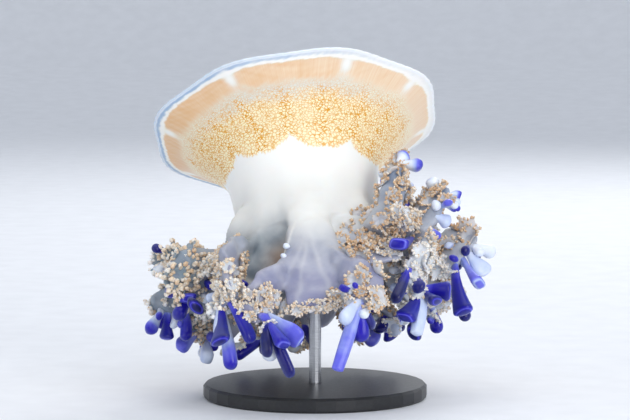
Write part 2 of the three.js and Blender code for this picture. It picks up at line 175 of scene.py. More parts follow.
# Bell and stalk: the number of points in each length of their outline, and its turns
OUTLINE_POINTS = {"dome": 64, "rim": 9, "underside": 84, "fillet": 12, "stalk": 22}
TURNS = 420
UPPER_SIDE, RIM, UNDERSIDE, STALK_SIDE = 0, 0.5, 1, 2  # which side each point of it is on
UNDERSIDE_FROM, UNDERSIDE_TO = 0.986, STALK_TOP_RADIUS + 0.045  # radii, either side of the fillet
FILLET_CORNER = (STALK_TOP_RADIUS - 0.002, -0.415)
FILLET_DROP = 0.47
JOIN_DROP = 0.64  # where the turned surface of the stalk ends and the arms' mesh begins
STALK_CUT_RADIUS = 0.57  # what is farther out than this above the join is part of an arm
LAPPETS_PER_OCTANT = 10
LAPPET_DEPTH = 0.007  # of the notches between lappets, in bell radii

# Colour zones of the bell: the radii between which each fades in or out
NETWORK_ENDS = (0.7, 0.87)
CREAM_ENDS = (0.68, 0.79)
BAND_BEGINS = (0.78, 0.85)
BAND_ENDS = (0.932, 0.948)
HEM_BEGINS = (0.936, 0.947)
BLUE_BEGINS = (0.954, 0.97)
EDGE_BEGINS = (0.978, 0.99)
RHOPALIA = (-76.5, -25.5, 26, 63, 108, 152, 197, 242)  # azimuths of the sense organs
RHOPALIUM_RADIUS = 0.905
PEAK_AZIMUTH = -4.5  # of one of the points of white on the underside
PEAK_HALF_WIDTH = 14  # degrees
STALK_WHITE_DROP = 0.468
NETWORK_STRETCH = 1.5  # how much closer its cells lie out along the bell than round it
NETWORK_INSET = 0.36

# Arms
COAT_DEPTH = 2.6  # how far the skin of the frilled branches lies inside the CAD's, in mm
TRUNK_ROOT = (0.42, 0.84)  # reach and drop
TRUNK_KNEE = (0.46, 1.08)  # the same, for an arm that doesn't reach out
TRUNK_KNEE_OUT = 0.25  # the share of what it does reach out by that its knee goes with it
SKIN_TRUNK_WIDTH = (0.1, 0.11, 0.13, 0.17, 0.21, 0.2)  # half of it, from the root to the foot
SKIN_TRUNK_THICKNESS = (0.035, 0.07, 0.045)  # half of it, thin where it leaves the stalk
BRANCH_TILT = 0.35  # how far a branch's width leans sideways from upright
SKIN_BRANCH_WIDTH = (0.15, 0.22, 0.25, 0.21, 0.12)  # half of it, from the fork to the tip
# Branches that are slimmer inside the CAD's: half the width, and the place of the skin's tip
SLIM_BRANCHES = {
    ("front", 0): ((0.05, 0.1, 0.16, 0.17, 0.12), (-34, 0.8, 1.76)),
    ("front", 1): ((0.05, 0.1, 0.16, 0.17, 0.12), (27, 0.8, 1.8)),
    ("front_right", 0): ((0.12, 0.14, 0.13, 0.12, 0.1), (65, 0.71, 0.6)),
    ("front_right", 1): ((0.15, 0.2, 0.17, 0.13, 0.1), (68, 1.0, 0.88)),
    ("right", 1): ((0.15, 0.2, 0.22, 0.17, 0.1), (88, 1.1, 1.1)),
    ("left", 0): ((0.14, 0.18, 0.17, 0.13, 0.1), (265, 1.13, 1.2)),
    ("left", 1): ((0.14, 0.17, 0.16, 0.13, 0.1), (275, 0.98, 0.92)),
}
# Membranes between the arms: the arm that each one's frills go with, the azimuth, reach and drop
# of its top, middle and hem, the azimuth it faces, half its width, and how many frills it bears
# over what part of its length and width
MEMBRANES = (
    ("front_left", ((-40, 0.43, 0.84), (-43, 0.505, 1.1), (-38, 0.6, 1.44)), -15,
     (0.22, 0.26, 0.27, 0.24, 0.13), 6, (0.5, 0.9), (-1.0, -0.75)),
    ("front_right", ((34, 0.43, 0.86), (37, 0.54, 1.12), (35, 0.68, 1.42)), 10,
     (0.14, 0.19, 0.22, 0.19), 18, (0.15, 1.0), (-0.85, 1.0)),
)
MEMBRANE_THICKNESS = (0.03, 0.02, 0.02)
SKIN_WEB_RADIUS = (0.5, 0.41)  # at its top and its hem
SKIN_WEB_TOP = 0.9
WEB_SPREAD = 22  # degrees from an arm's root to where the web's hem is highest
THINNEST_SHEET = 1.1  # half of it, in mm
TRUNK_FLUTTER, MEMBRANE_FLUTTER, BRANCH_FLUTTER = 0.5, 0.4, 1.1  # waves of their edges, in mm

# Colour zones of the arms: azimuths, drops or reaches between which each fades in or out. The
# window's zones hold painted shade.
WINDOW_BEGINS = (-74, -60)  # of the window between the front arm and the next on its left
WINDOW_ENDS = (-19, -12)
WINDOW_DROPS = (0.82, 1.16)
WINDOW_REACHES = (0.66, 0.74)
WINDOW_HEM = (1.43, 0.3, -36, 24)  # its drop, its rise aside, its azimuth and its half-width
WINDOW_BROWN_BEGINS = (-44, -24)
SLATE_REACHES = (0.56, 0.66)
FAN_FOLDS = (-22, -11, 6)  # azimuths of the pale folds of the front arm, at its foot
FAN_FOLD_WIDTH = 1.7  # degrees

# The field that the arms are cut from, in mm
VOXEL = 0.66
FIELD_REACH = 76.0
FIELD_TOP = -26.0
FIELD_BOTTOM = -128.0
FIELD_OUTSIDE = 6.0  # its value where there is no flesh
ROD_CLEARANCE = 0.3

# Frills
LOBE_SIDES = 18
LOBE_ROWS = 3
LOBE_THICKNESS = 0.5
LOBE_SIZE = (2.0, 3.7)  # from its middle to its rim
LOBE_SPACING = 6.0
LOBE_WAVES = (3, 6)  # round its rim: this many, but fewer than that
LOBE_CUP = (0.25, 0.55)  # how deep its cup is, in its sizes
LOBE_OVAL = (0.7, 1.0)  # how long it is one way, of the other
LOBE_LEAN = 0.35
RIM_GAP = (0.0, 1.6)  # of the rim that bears no knobs, in radians
# Rows along a branch: how far across it, and on its outer face (1), inner face (-1) or edge (0)
BRANCH_ROWS = ((1.0, 0), (-1.0, 0), (0.5, 1), (-0.1, 1), (-0.6, 1), (0.5, -1), (-0.1, -1),
               (-0.6, -1))
SLIM_BRANCH_ROWS = ((1.0, 0), (-1.0, 0), (0.2, 1), (-0.4, 1), (0.0, -1))
THINNED_RIGHT, THINNED_LEFT = 0.4, 0.2  # share of the lobes left out there
# Rows that bear no frills on a branch, and how far along it they are bare
BARE_ROWS = {("front_right", 0): ((0.2,), 0.7), ("front_right", 1): ((-1.0, -0.4), 1.0),
             ("right", 1): ((1.0, 0.2), 0.78), ("left", 1): ((-1.0, -0.4), 0.6)}
# Clusters of small lobes on the skin: the arm that each one's frills go with, the azimuth and drop
# of its middle, how far it spreads in bell radii, and how many lobes it has
CURLS = (
    ("front_right", 54, 0.92, 0.17, 13),
    ("front_right", 64, 0.62, 0.12, 12),
    ("front_right", 69, 0.86, 0.12, 9),
    ("right", 88, 1.0, 0.1, 9),
    ("right", 47, 1.24, 0.19, 20),
    ("right", 58, 1.5, 0.16, 12),
    ("front", 13, 1.78, 0.13, 9),
    ("front_left", -56, 1.3, 0.16, 12),
    ("front_left", -38, 1.68, 0.14, 9),
)
CURL_SIZE = (1.4, 2.3)
CURL_TURN = 2.4  # from each lobe of a cluster to the next, round its middle, in radians
TRUNK_LOBES = 14  # on the outer face of each trunk
FOOT_LOBES = 8  # on its foot, and as many under it
INNER_LOBES = 5  # on its inner face
# Where no frill is: on the front arm's fan, which ends at a drop for each azimuth, beside the
# stalk under the front right arm, and near the stand's rod
BARE_FRONT = ((-46, -40, -30, -20, -6, 10, 20), (1.1, 1.28, 1.52, 1.62, 1.7, 1.68, 1.58))
BARE_STALK_AZIMUTHS = (0, 43)
BARE_STALK_DROP = 0.88
BARE_ROD = 7  # mm
UNDER_PALER = 0.45  # how much whiter the lobes on the underside are
WIDE_LOBES = 0.35  # how much wider the lobes are on the right, where their rims are open rings
KNOB_RADIUS = (0.44, 0.74)  # of the round knobs on a frill's rim
COARSE_KNOBS = 1.5  # how many times larger they are on the far left
KNOB_SPACING = 1.05
KNOB_ROWS = ((1.0, 1.0), (0.74, 0.45))  # where on a frill, and what share of it is filled
GRAINS = 2  # small beads on each knob
GRAIN_RADIUS = (0.22, 0.4)
PATCH = 0.003  # width of a tuft's patch on its map, at its root's place

# Clubs: radius along each kind, in bell radii, from the root at 0 to the tip at 1
CLUB_GIRTH = {
    "finger": [(0, 0.024), (0.3, 0.036), (0.65, 0.047), (1, 0.047)],
    "trumpet": [(0, 0.024), (0.35, 0.036), (0.7, 0.056), (1, 0.08)],
    "knob": [(0, 0.026), (0.35, 0.036), (0.7, 0.054), (1, 0.056)],
    "tube": [(0, 0.034), (0.3, 0.044), (0.6, 0.046), (1, 0.04)],
    "paddle": [(0, 0.026), (0.35, 0.042), (0.7, 0.07), (1, 0.066)],
}
CLUB_FLATNESS = {"finger": 0.75, "trumpet": 0.6, "knob": 0.85, "tube": 0.8, "paddle": 0.5}
# How far back the round tip begins, in radii
CLUB_ROUNDING = {"finger": 1.0, "trumpet": 0.5, "knob": 1.0, "tube": 0.35, "paddle": 0.7}
FLARED_CLUBS = ("trumpet", "paddle")
CLUB_RIM_AT = 0.965  # the paler rim of a flared club, along it
CLUB_SIDES = 20
CLUB_RINGS = 22
CLUB_BOW = 0.055  # how far a club bends aside, in its lengths
CLUB_ROOT_STEPS = 8  # places along a branch that a club may grow from
CLUB_ROOT_REACH = 0.55  # and how far across it, of half its width
CLUB_DRAWN_IN = 0.96  # of the CAD's length, so that their bent sides stay inside its box
EXTRA_CLUBS = 7  # small ones tried on each branch
EXTRA_CLUB_LENGTH = (6.5, 9.5)  # mm
EXTRA_CLUB_SCALE = (0.5, 0.72)
EXTRA_CLUB_KINDS = ("finger", "knob", "knob")
EXTRA_CLUB_SHADES = ("white", "pale", "white", "pale", "eyed", "deep", "sky", "violet")
# Two small knobs at the edge of the front arm: azimuth, reach, drop
WINDOW_KNOBS = ((-16, 0.63, 1.22), (-17.5, 0.65, 1.3))
WINDOW_KNOB_SIZE = (0.07, 0.02)  # outwards and down, in bell radii
WINDOW_KNOB_SCALE = 0.45

# How deep a blue each shade is, from its root, half-way and at its tip: 0 is white, 1 is navy
SHADES = {
    "navy": (0.35, 1.0, 1.0),
    "deep": (0.25, 0.88, 0.95),
    "blue": (0.15, 0.72, 0.85),
    "violet": (0.2, 0.58, 0.72),
    "lavender": (0.25, 0.3, 0.38),
    "sky": (0.1, 0.3, 0.45),
    "pale": (0.08, 0.12, 0.1),
    "white": (0.0, 0.0, 0.02),
    "eyed": (0.0, 0.06, 0.7),
    "disc": (0.02, 0.1, 0.95),
}

rng = np.random.default_rng(20)


def srgb(red, green, blue):
    """A colour given as it looks on a screen, 0 to 255, as linear light."""
    channels = np.array([red, green, blue]) / 255.0
    return np.where(channels <= 0.04045, channels / 12.92, ((channels + 0.055) / 1.055) ** 2.4)


WHITE = srgb(246, 246, 242)
NET_CREAM = srgb(255, 241, 202)
NET_ORANGE = srgb(228, 160, 8)
NET_PALE = srgb(220, 220, 214)
BAND_TAN = srgb(240, 217, 188)
BAND_ORANGE = srgb(230, 188, 140)
MARGIN_BLUE = srgb(162, 188, 216)
MARGIN_EDGE = srgb(236, 242, 248)
DOME_YELLOW = srgb(232, 178, 92)
DOME_PALE = srgb(226, 214, 190)
LIMB_WHITE = srgb(226, 226, 222)
LIMB_GREY = srgb(156, 162, 174)
LIMB_LILAC = srgb(128, 130, 164)
# A blue-green flesh tint, darkened as painted shade
LIMB_BLUE_SHADE = srgb(92, 122, 144)
# Pale flesh, partly painted light
LIMB_PALE_LIT = srgb(214, 220, 228)
LIMB_SLATE = srgb(138, 152, 176)
# Painted shade of the recess between the front arm and the next on its left
WINDOW_SHADE_TEAL = srgb(96, 112, 124)
WINDOW_SHADE_BROWN = srgb(138, 112, 88)


# ---- The animal's own frame ----------------------------------------------------------------------

POSE = (Matrix.Translation(BELL_POSITION)
        @ Matrix.Rotation(math.radians(-ROLL), 4, "Y")
        @ Matrix.Rotation(math.radians(-BANK), 4, "X"))
AXIS = np.array([0.0, 0.0, 1.0])


def outward(azimuth):
    """The direction away from the axis at an azimuth in degrees."""
    angle = math.radians(azimuth)
    return np.array([math.sin(angle), -math.cos(angle), 0.0])


def sideways(azimuth):
    return outward(azimuth + 90)


def place(azimuth, reach, drop):
    """The point at a place round the axis."""
    return (outward(azimuth) * reach - AXIS * drop) * BELL_RADIUS


def azimuth_of(points):
    """Azimuths of points, in radians."""
    return np.arctan2(points[..., 0], -points[..., 1])


def radius_of(points):
    """How far points are from the axis, in millimetres."""
    return np.hypot(points[..., 0], points[..., 1])


def drop_of(points):
    """How far points are below the rim, in bell radii."""
    return -points[..., 2] / BELL_RADIUS


def unit(vectors):
    """A direction, or each row of them, as long as 1."""
    return vectors / np.linalg.norm(vectors, axis=-1, keepdims=True)


def along_row(values, t):
    """A value read off a row of them that are evenly spaced from 0 to 1."""
    return np.interp(t, np.linspace(0, 1, len(values)), values)


def smooth_step(start, end, x):
    """0 up to start and 1 from end on, with an eased climb between them."""
    t = np.clip((x - start) / (end - start), 0, 1)
    return t * t * (3 - 2 * t)


def mix(first, second, share):
    """Blends two colours, or a colour and a row of colours, by a share for each point."""
    share = np.asarray(share)[..., None]
    return first * (1 - share) + second * share


def to_world(points):
    """Points of the animal's own frame in the world's, in metres."""
    matrix = np.array(POSE)
    return (points @ matrix[:3, :3].T + matrix[:3, 3]) * MM


def ripple(points, scale, seed=0):
    """A smooth random value from -1 to 1 that changes over about scale millimetres."""
    draw = np.random.default_rng(seed)
    total = np.zeros(len(points))
    for _ in range(6):
        direction = unit(draw.normal(size=3)) * draw.uniform(0.7, 1.5)
        total += np.sin(points @ direction * (2 * math.pi / scale) + draw.uniform(0, 2 * math.pi))
    return total / 3.4


# ---- Meshes from gathered points -----------------------------------------------------------------

class Gathering:
    """Points, faces, map places and named values for one mesh, gathered a form at a time."""

    def __init__(self):
        self.points = []
        self.quads = []
        self.triangles = []
        self.map = []
        self.values = {}
        self.count = 0

    def add(self, points, quads, triangles, map_places, **values):
        """Adds one form, with its map place and named values for each point."""
        self.points.append(points)
        self.quads.append(quads + self.count)
        self.triangles.append(triangles + self.count)
        self.map.append(map_places)
        for name, value in values.items():
            self.values.setdefault(name, []).append(value)
        self.count += len(points)

    def build(self, name, material):
        """Makes the object, which rides on the animal's only body."""
        points = to_world(np.concatenate(self.points))
        quads = np.concatenate(self.quads).astype(np.int32)
        triangles = np.concatenate(self.triangles).astype(np.int32)
        corners = np.concatenate([quads.ravel(), triangles.ravel()])
        sizes = np.concatenate([np.full(len(quads), 4), np.full(len(triangles), 3)])
        mesh = bpy.data.meshes.new(name)
        mesh.vertices.add(len(points))
        mesh.vertices.foreach_set("co", points.ravel().astype(np.float32))
        mesh.loops.add(len(corners))
        mesh.loops.foreach_set("vertex_index", corners)
        mesh.polygons.add(len(sizes))
        mesh.polygons.foreach_set("loop_start", np.concatenate([[0], np.cumsum(sizes)[:-1]]))
        mesh.polygons.foreach_set("use_smooth", np.ones(len(sizes), dtype=bool))
        for key, parts in self.values.items():
            data = np.concatenate(parts).astype(np.float32)
            if data.ndim == 1:
                mesh.attributes.new(key, "FLOAT", "POINT").data.foreach_set("value", data)
            else:
                mesh.attributes.new(key, "FLOAT_VECTOR", "POINT").data.foreach_set(
                    "vector", data.ravel())
        uv = np.concatenate(self.map)[corners].astype(np.float32)
        mesh.uv_layers.new(name="OFBake").data.foreach_set("uv", uv.ravel())
        mesh.update(calc_edges=True)
        mesh.validate()
        mesh.materials.append(material)
        piece = bpy.data.objects.new(name, mesh)
        bpy.context.scene.collection.objects.link(piece)
        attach(piece, "root")
        return piece


def closed_rings(rings, start, end):
    """Points and faces of a closed form: rings of points between two end points."""
    count, sides = rings.shape[:2]
    points = np.concatenate([rings.reshape(-1, 3), [start, end]])
    index = np.arange(count * sides).reshape(count, sides)
    following = np.roll(index, -1, axis=1)
    quads = np.stack([index[:-1], following[:-1], following[1:], index[1:]], axis=-1).reshape(-1, 4)
    start_index = np.full(sides, count * sides)
    first = np.stack([start_index, following[0], index[0]], axis=-1)
    last = np.stack([start_index + 1, index[-1], following[-1]], axis=-1)
    return points, quads, np.concatenate([first, last])


# ---- Bell and stalk ------------------------------------------------------------------------------

def spline(knots, t):
    """Uniform Catmull-Rom through the knots, as three.js draws it, for t from 0 to 1."""
    knots = np.asarray(knots, dtype=float)
    place_along = np.clip(np.asarray(t), 0, 1) * (len(knots) - 1)
    i = np.minimum(place_along.astype(int), len(knots) - 2)
    f = (place_along - i)[:, None]
    before = knots[np.where(i == 0, i, i - 1)]
    p1 = knots[i]
    p2 = knots[i + 1]
    after = knots[np.where(i > len(knots) - 3, len(knots) - 1, i + 2)]
    v0 = (p2 - before) / 2
    v1 = (after - p1) / 2
    return ((2 * (p1 - p2) + v0 + v1) * f ** 3 + (-3 * (p1 - p2) - 2 * v0 - v1) * f ** 2
            + v0 * f + p1)


def underside_height(radius):
    """Height of the bell's underside, in bell radii."""
    in_from_rim = np.clip((1 - radius) / (1 - STALK_TOP_RADIUS), 0, None)
    return -STALK_TOP_DROP * in_from_rim ** UNDERSIDE_CURVE - RIM_HALF_THICKNESS


def stalk_radius(drop, azimuth):
    """Radius of the stalk below the bell, with its shallow folds, in bell radii."""
    profile = np.array(STALK_PROFILE)
    folds = 0.006 * np.sin(5 * azimuth + 7 * drop) + 0.004 * np.sin(11 * azimuth - 5 * drop + 1)
    folded = np.interp(drop, profile[:, 1], profile[:, 0]) + folds * smooth_step(0.5, 0.7, drop)
    return folded - 0.01 * smooth_step(0.45, 0.6, drop)


def body_profile():
    """The outline that the bell and the top of the stalk are turned from, and the side that each
    of its points is on."""
    dome = spline(DOME_PROFILE, np.linspace(0.002, 1, OUTLINE_POINTS["dome"]))
    dome = dome[dome[:, 0] < 1 - RIM_HALF_THICKNESS]
    bend = np.radians(np.linspace(75, -75, OUTLINE_POINTS["rim"]))
    rim = np.stack([1 - RIM_HALF_THICKNESS * (1 - np.cos(bend)),
                    RIM_HALF_THICKNESS * np.sin(bend)], axis=-1)
    radius = np.linspace(UNDERSIDE_FROM, UNDERSIDE_TO, OUTLINE_POINTS["underside"])
    underside = np.stack([radius, underside_height(radius)], axis=-1)
    drop = np.linspace(FILLET_DROP, JOIN_DROP, OUTLINE_POINTS["stalk"])
    stalk = np.stack([stalk_radius(drop, 0.0), -drop], axis=-1)
    t = np.linspace(0, 1, OUTLINE_POINTS["fillet"] + 2)[1:-1, None]
    fillet = (underside[-1] * (1 - t) ** 2 + np.array(FILLET_CORNER) * 2 * t * (1 - t)
              + stalk[0] * t ** 2)
    parts = [dome, rim, underside, fillet, stalk]
    sides = (UPPER_SIDE, RIM, UNDERSIDE, UNDERSIDE, STALK_SIDE)
    return np.concatenate(parts), np.repeat(sides, [len(part) for part in parts])


def shaped_rim(radius, azimuth, height):
    """Draws the round bell out to its corners, and lets its rear sag, from the stalk to the rim."""
    outwards = np.clip((radius - STALK_TOP_RADIUS) / (1 - STALK_TOP_RADIUS), 0, None) ** 2
    corner = math.radians(RIM_CORNER_AZIMUTH)
    stretch = 1 + RIM_CORNER_DEPTH * outwards * np.cos(RIM_CORNERS * (azimuth - corner))
    sag = REAR_SAG * outwards * (1 - np.cos(azimuth)) / 2
    return radius * stretch, height - sag


def lappet_notch(radius, azimuth):
    """How far the edge of the bell is drawn in between its lappets, in bell radii."""
    turn = azimuth * RIM_CORNERS / (2 * math.pi) * LAPPETS_PER_OCTANT
    between = 1 - np.abs(np.sin(math.pi * turn)) ** 0.5
    return LAPPET_DEPTH * between * smooth_step(0.955, 1, radius)


def peak_shape(azimuth):
    """Height of the eight points in which the stalk's white runs up the underside."""
    eighth = 2 * math.pi / RIM_CORNERS
    offset = (azimuth - math.radians(PEAK_AZIMUTH) + eighth / 2) % eighth - eighth / 2
    height = 0.063 + 0.022 * np.cos(2 * (azimuth - math.radians(PEAK_AZIMUTH)))
    return height * np.clip(1 - np.abs(offset) / math.radians(PEAK_HALF_WIDTH), 0, 1) ** 1.7


def rhopalium_offset(azimuth):
    """Angle from each place to the nearest sense organ on the rim."""
    organs = np.radians(RHOPALIA)
    apart = (azimuth[:, None] - organs[None] + math.pi) % (2 * math.pi) - math.pi
    return np.abs(apart).min(axis=1)


def stalk_tone(drop):
    """Colour of the stalk, whitest at its top."""
    return mix(WHITE, LIMB_WHITE, smooth_step(0.5, 0.86, drop))


def body_tone(radius, azimuth, height, below, ragged):
    """Colour of the bell and stalk before their fine pattern, and how strong the network and
    the rays of that pattern are. The zones lie in rings, each broken at the sense organs."""
    edge = radius + ragged * 0.006
    arc = rhopalium_offset(azimuth) * radius * BELL_RADIUS
    corner = np.exp(-(arc / 4.5) ** 2)
    canal = (np.cos(2 * RIM_CORNERS * (azimuth - math.radians(PEAK_AZIMUTH))) * 0.5 + 0.5) ** 5
    facing = 0.5 + 0.5 * np.cos(azimuth)
    from_organ = np.hypot(arc, 0.7 * (radius - RHOPALIUM_RADIUS) * BELL_RADIUS)

    band = (smooth_step(*BAND_BEGINS, edge + 0.01 * ragged - 0.02 * corner)
            * (1 - smooth_step(*BAND_ENDS, edge + 0.02 * corner))
            * smooth_step(1.0, 3.4, from_organ + 0.4 * ragged))
    spot = np.exp(-(from_organ / 2.3) ** 2) * (1 - smooth_step(0.96, 0.985, edge))
    pale = mix(NET_CREAM, NET_PALE, 0.3 + 0.7 * facing ** 3)
    tone = mix(NET_CREAM, pale, smooth_step(*CREAM_ENDS, edge + 0.02 * ragged) * 0.9)
    tan = mix(BAND_TAN, BAND_ORANGE, np.clip(0.3 + 0.3 * ragged - 0.5 * np.sin(azimuth), 0, 1))
    tone = mix(tone, tan, band)
    tone = mix(tone, WHITE, smooth_step(*HEM_BEGINS, edge + 0.01 * corner))
    blue = np.clip(0.6 - 0.6 * np.sin(azimuth) + 0.12 * ragged, 0.12, 1)
    tone = mix(tone, MARGIN_BLUE, smooth_step(*BLUE_BEGINS, edge) * blue)
    tone = mix(tone, MARGIN_EDGE, smooth_step(*EDGE_BEGINS, radius))
    tone = mix(tone, WHITE, spot)

    fringe = 0.006 * np.sin(96 * azimuth + 2 * ragged) + 0.004 * np.sin(163 * azimuth)
    boundary = STALK_WHITE_DROP + 0.03 * np.sin(azimuth) - peak_shape(azimuth)
    boundary = boundary + ragged * 0.01 + fringe
    white = smooth_step(boundary - 0.01, boundary + 0.01, -height)
    white = white * (radius < 0.62)
    tone = mix(tone, stalk_tone(-height), white)

    upper = mix(DOME_YELLOW, DOME_PALE, smooth_step(0.4, 0.62, radius))
    spokes = 0.5 + 0.5 * np.sin(5 * RIM_CORNERS * azimuth + 2 * ragged)
    upper = mix(upper, DOME_YELLOW, 0.3 * spokes * (1 - smooth_step(0.5, 0.85, radius)))
    upper = mix(upper, BAND_TAN, band * (0.6 + 0.3 * spokes))
    upper = mix(upper, WHITE, spot)
    upper = mix(upper, WHITE, smooth_step(0.926, 0.94, radius))
    upper = mix(upper, MARGIN_BLUE, smooth_step(0.955, 0.972, radius) * blue)
    below = np.minimum(below, 1)
    tone = mix(upper, tone, smooth_step(0.2, 0.8, below))

    network = (1 - smooth_step(*NETWORK_ENDS, edge + 0.02 * ragged)) * (1 - white) * (1 - band)
    network = network * (0.8 + 0.5 * canal + 0.25 * np.abs(np.sin(azimuth))) * below
    return tone, network, band * below


def network_plan(radius, azimuth, height):
    """Where each place lies in the network's pattern: its cells are longer round the bell than
    out along it."""
    reach = (NETWORK_STRETCH * radius - NETWORK_INSET) * BELL_RADIUS
    return np.stack([reach * np.sin(azimuth), reach * np.cos(azimuth), height * BELL_RADIUS],
                    axis=-1)


def add_body(skin):
    """The bell and the top of the stalk, turned round the axis."""
    profile, sides = body_profile()
    azimuth = np.linspace(0, 2 * math.pi, TURNS, endpoint=False)
    radius, angle = np.meshgrid(profile[:, 0], azimuth, indexing="ij")
    height = np.repeat(profile[:, 1:2], TURNS, axis=1)
    below = np.repeat(sides[:, None], TURNS, axis=1)
    plan = np.stack([radius * np.sin(angle), radius * np.cos(angle), -height], axis=-1)
    plan = plan.reshape(-1, 3)

    ragged = ripple(plan * BELL_RADIUS, 2.6, 3) * 0.6 + ripple(plan * BELL_RADIUS, 9, 4) * 0.6
    tone, network, rays = body_tone(radius.ravel(), angle.ravel(), height.ravel(), below.ravel(),
                                    ragged)

    reach, level = shaped_rim(radius, angle, height)
    reach = reach - lappet_notch(radius, angle)
    reach = np.where(below == STALK_SIDE, stalk_radius(-height, angle), reach)
    rings = np.stack([reach * np.sin(angle), -reach * np.cos(angle), level], axis=-1)
    rings = rings * BELL_RADIUS
    points, quads, triangles = closed_rings(rings, rings[0].mean(axis=0), rings[-1].mean(axis=0))
    points, quads, triangles = points[:-1], quads[:, ::-1], triangles[:TURNS, ::-1]

    top = np.array([[0, 0, plan[0, 2]]])
    along = np.concatenate([[0], np.cumsum(np.linalg.norm(np.diff(profile, axis=0), axis=1))])
    along = 0.02 + 0.62 * along / along[-1]
    flat = np.stack([angle / (2 * math.pi) * 0.97 + 0.01,
                     np.repeat(along[:, None], TURNS, axis=1)], axis=-1).reshape(-1, 2)
    flat = np.concatenate([flat, [[0.5, 0.015]]])

    def with_top(values):
        """The values with the middle point's after them, which are its neighbour's."""
        return np.concatenate([values, values[:1]])

    pattern = network_plan(radius.ravel(), angle.ravel(), height.ravel())
    skin.add(points, quads, triangles, flat, plan=np.concatenate([plan, top]),
             tone=with_top(tone), network=with_top(network), rays=with_top(rays),
             pattern=with_top(pattern), limb=np.zeros(len(points)))


# ---- Arms ----------------------------------------------------------------------------------------

class Ribbon:
    """A bar of flattened section along a curve through three points."""

    def __init__(self, start, middle, end, width_ways, half_width, half_thickness):
        self.start = start
        self.control = 2 * middle - (start + end) / 2
        self.end = end
        self.width_ways = width_ways
        self.half_width = half_width
        self.half_thickness = half_thickness

    def point(self, t):
        t = np.asarray(t, dtype=float)[..., None]
        return (self.start * (1 - t) ** 2 + self.control * 2 * t * (1 - t) + self.end * t ** 2)

    def frame(self, t):
        """Unit directions at t: along the ribbon, across its width and across its thickness."""
        t = np.asarray(t, dtype=float)[..., None]
        along = 2 * ((self.control - self.start) * (1 - t) + (self.end - self.control) * t)
        along = along / np.linalg.norm(along, axis=-1, keepdims=True)
        wide = self.width_ways - along * (along @ self.width_ways)[..., None]
        wide = wide / np.linalg.norm(wide, axis=-1, keepdims=True)
        return along, wide, np.cross(wide, along)

    def distance(self, points, inset, flutter):
        """Signed distance, near enough, from points to the ribbon's surface drawn in by inset.
        Its sheet waves to and fro along its edges by flutter."""
        t = np.linspace(0, 1, 26)
        stations = self.point(t)
        along, wide, thick = self.frame(t)
        length = np.linalg.norm(np.diff(stations, axis=0), axis=1).sum()
        squared = ((points ** 2).sum(1)[:, None] - 2 * points @ stations.T
                   + (stations ** 2).sum(1)[None])
        nearest = squared.argmin(axis=1)
        offset = points - stations[nearest]
        forward = (offset * along[nearest]).sum(1)
        reached = t[nearest] + forward / length
        beyond = (reached - np.clip(reached, 0, 1)) * length
        reached = np.clip(reached, 0, 1)
        x = (offset * wide[nearest]).sum(1)
        z = (offset * thick[nearest]).sum(1)
        a = along_row(self.half_width, reached) * BELL_RADIUS - inset
        b = along_row(self.half_thickness, reached) * BELL_RADIUS - inset
        b = np.maximum(b, THINNEST_SHEET)
        z = z - flutter * (x / a) * np.sin(reached * length * 0.55 + 2.2 * np.sign(x))
        k0 = np.sqrt((x / a) ** 2 + (z / b) ** 2 + (beyond / b) ** 2)
        k1 = np.sqrt((x / a ** 2) ** 2 + (z / b ** 2) ** 2 + (beyond / b ** 2) ** 2)
        return k0 * (k0 - 1) / np.maximum(k1, 1e-6)


def trunk_ribbon(root, fork):
    """The trunk of the arm that leaves the stalk at an azimuth and forks at a place."""
    azimuth, reach, _ = fork
    knee_reach, knee_drop = TRUNK_KNEE
    knee_reach = knee_reach + TRUNK_KNEE_OUT * (reach - knee_reach)
    knee = place((root + azimuth) / 2, knee_reach, knee_drop)
    return Ribbon(place(root, *TRUNK_ROOT), knee, place(*fork), sideways(azimuth),
                  SKIN_TRUNK_WIDTH, SKIN_TRUNK_THICKNESS)


def branch_ribbon(root, fork, side, tip, half_width):
    """The branch on side 0 or 1 of that arm's fork."""
    across = sideways(fork[0]) * FORK_HALF_WIDTH * BELL_RADIUS * (2 * side - 1)
    start = trunk_ribbon(root, fork).point(FORK_AT) + across
    end = place(*tip)
    middle = (start + end) / 2
    middle = middle + unit(middle * (1, 1, 0)) * BRANCH_BOW * BELL_RADIUS
    width_ways = unit(AXIS + BRANCH_TILT * sideways(tip[0]))
    return Ribbon(start, middle, end, width_ways, half_width, BRANCH_HALF_THICKNESS)


def arm_ribbons():
    """(arm name, trunk, [(branch ribbon, clubs)]) for each arm."""
    arms = []
    for name, root, fork, *sides in ARMS:
        branches = []
        for side, (tip, clubs) in enumerate(sides):
            half_width, tip = SLIM_BRANCHES.get((name, side), (SKIN_BRANCH_WIDTH, tip))
            branches.append((branch_ribbon(root, fork, side, tip, half_width), clubs))
        arms.append((name, trunk_ribbon(root, fork), branches))
    return arms


def smooth_union(field, block, distance, softness):
    """Joins a new form into part of the field, filling the crease between them."""
    old = field[block]
    h = np.clip(softness - np.abs(old - distance), 0, None) / softness
    field[block] = np.minimum(old, distance) - h * h * softness / 4


def field_axes():
    """Where the field's samples are along each of its three axes."""
    reach = np.arange(-FIELD_REACH, FIELD_REACH, VOXEL)
    return reach, reach, np.arange(FIELD_BOTTOM, FIELD_TOP, VOXEL)


def block_points(axes, low, high):
    """The part of the field between two corners, and its points."""
    block = tuple(slice(*np.searchsorted(axis, (lo, hi))) for axis, lo, hi in zip(axes, low, high))
    grid = np.meshgrid(*(axis[part] for axis, part in zip(axes, block)), indexing="ij")
    return block, np.stack(grid, axis=-1).reshape(-1, 3)


def add_ribbon_to_field(field, axes, ribbon, inset, flutter, softness):
    """Joins a ribbon to the field, which is then worked out near it alone."""
    curve = ribbon.point(np.linspace(0, 1, 12))
    room = max(ribbon.half_width) * BELL_RADIUS + 4
    block, points = block_points(axes, curve.min(axis=0) - room, curve.max(axis=0) + room)
    distance = ribbon.distance(points, inset, flutter)
    smooth_union(field, block, distance.reshape(field[block].shape), softness)


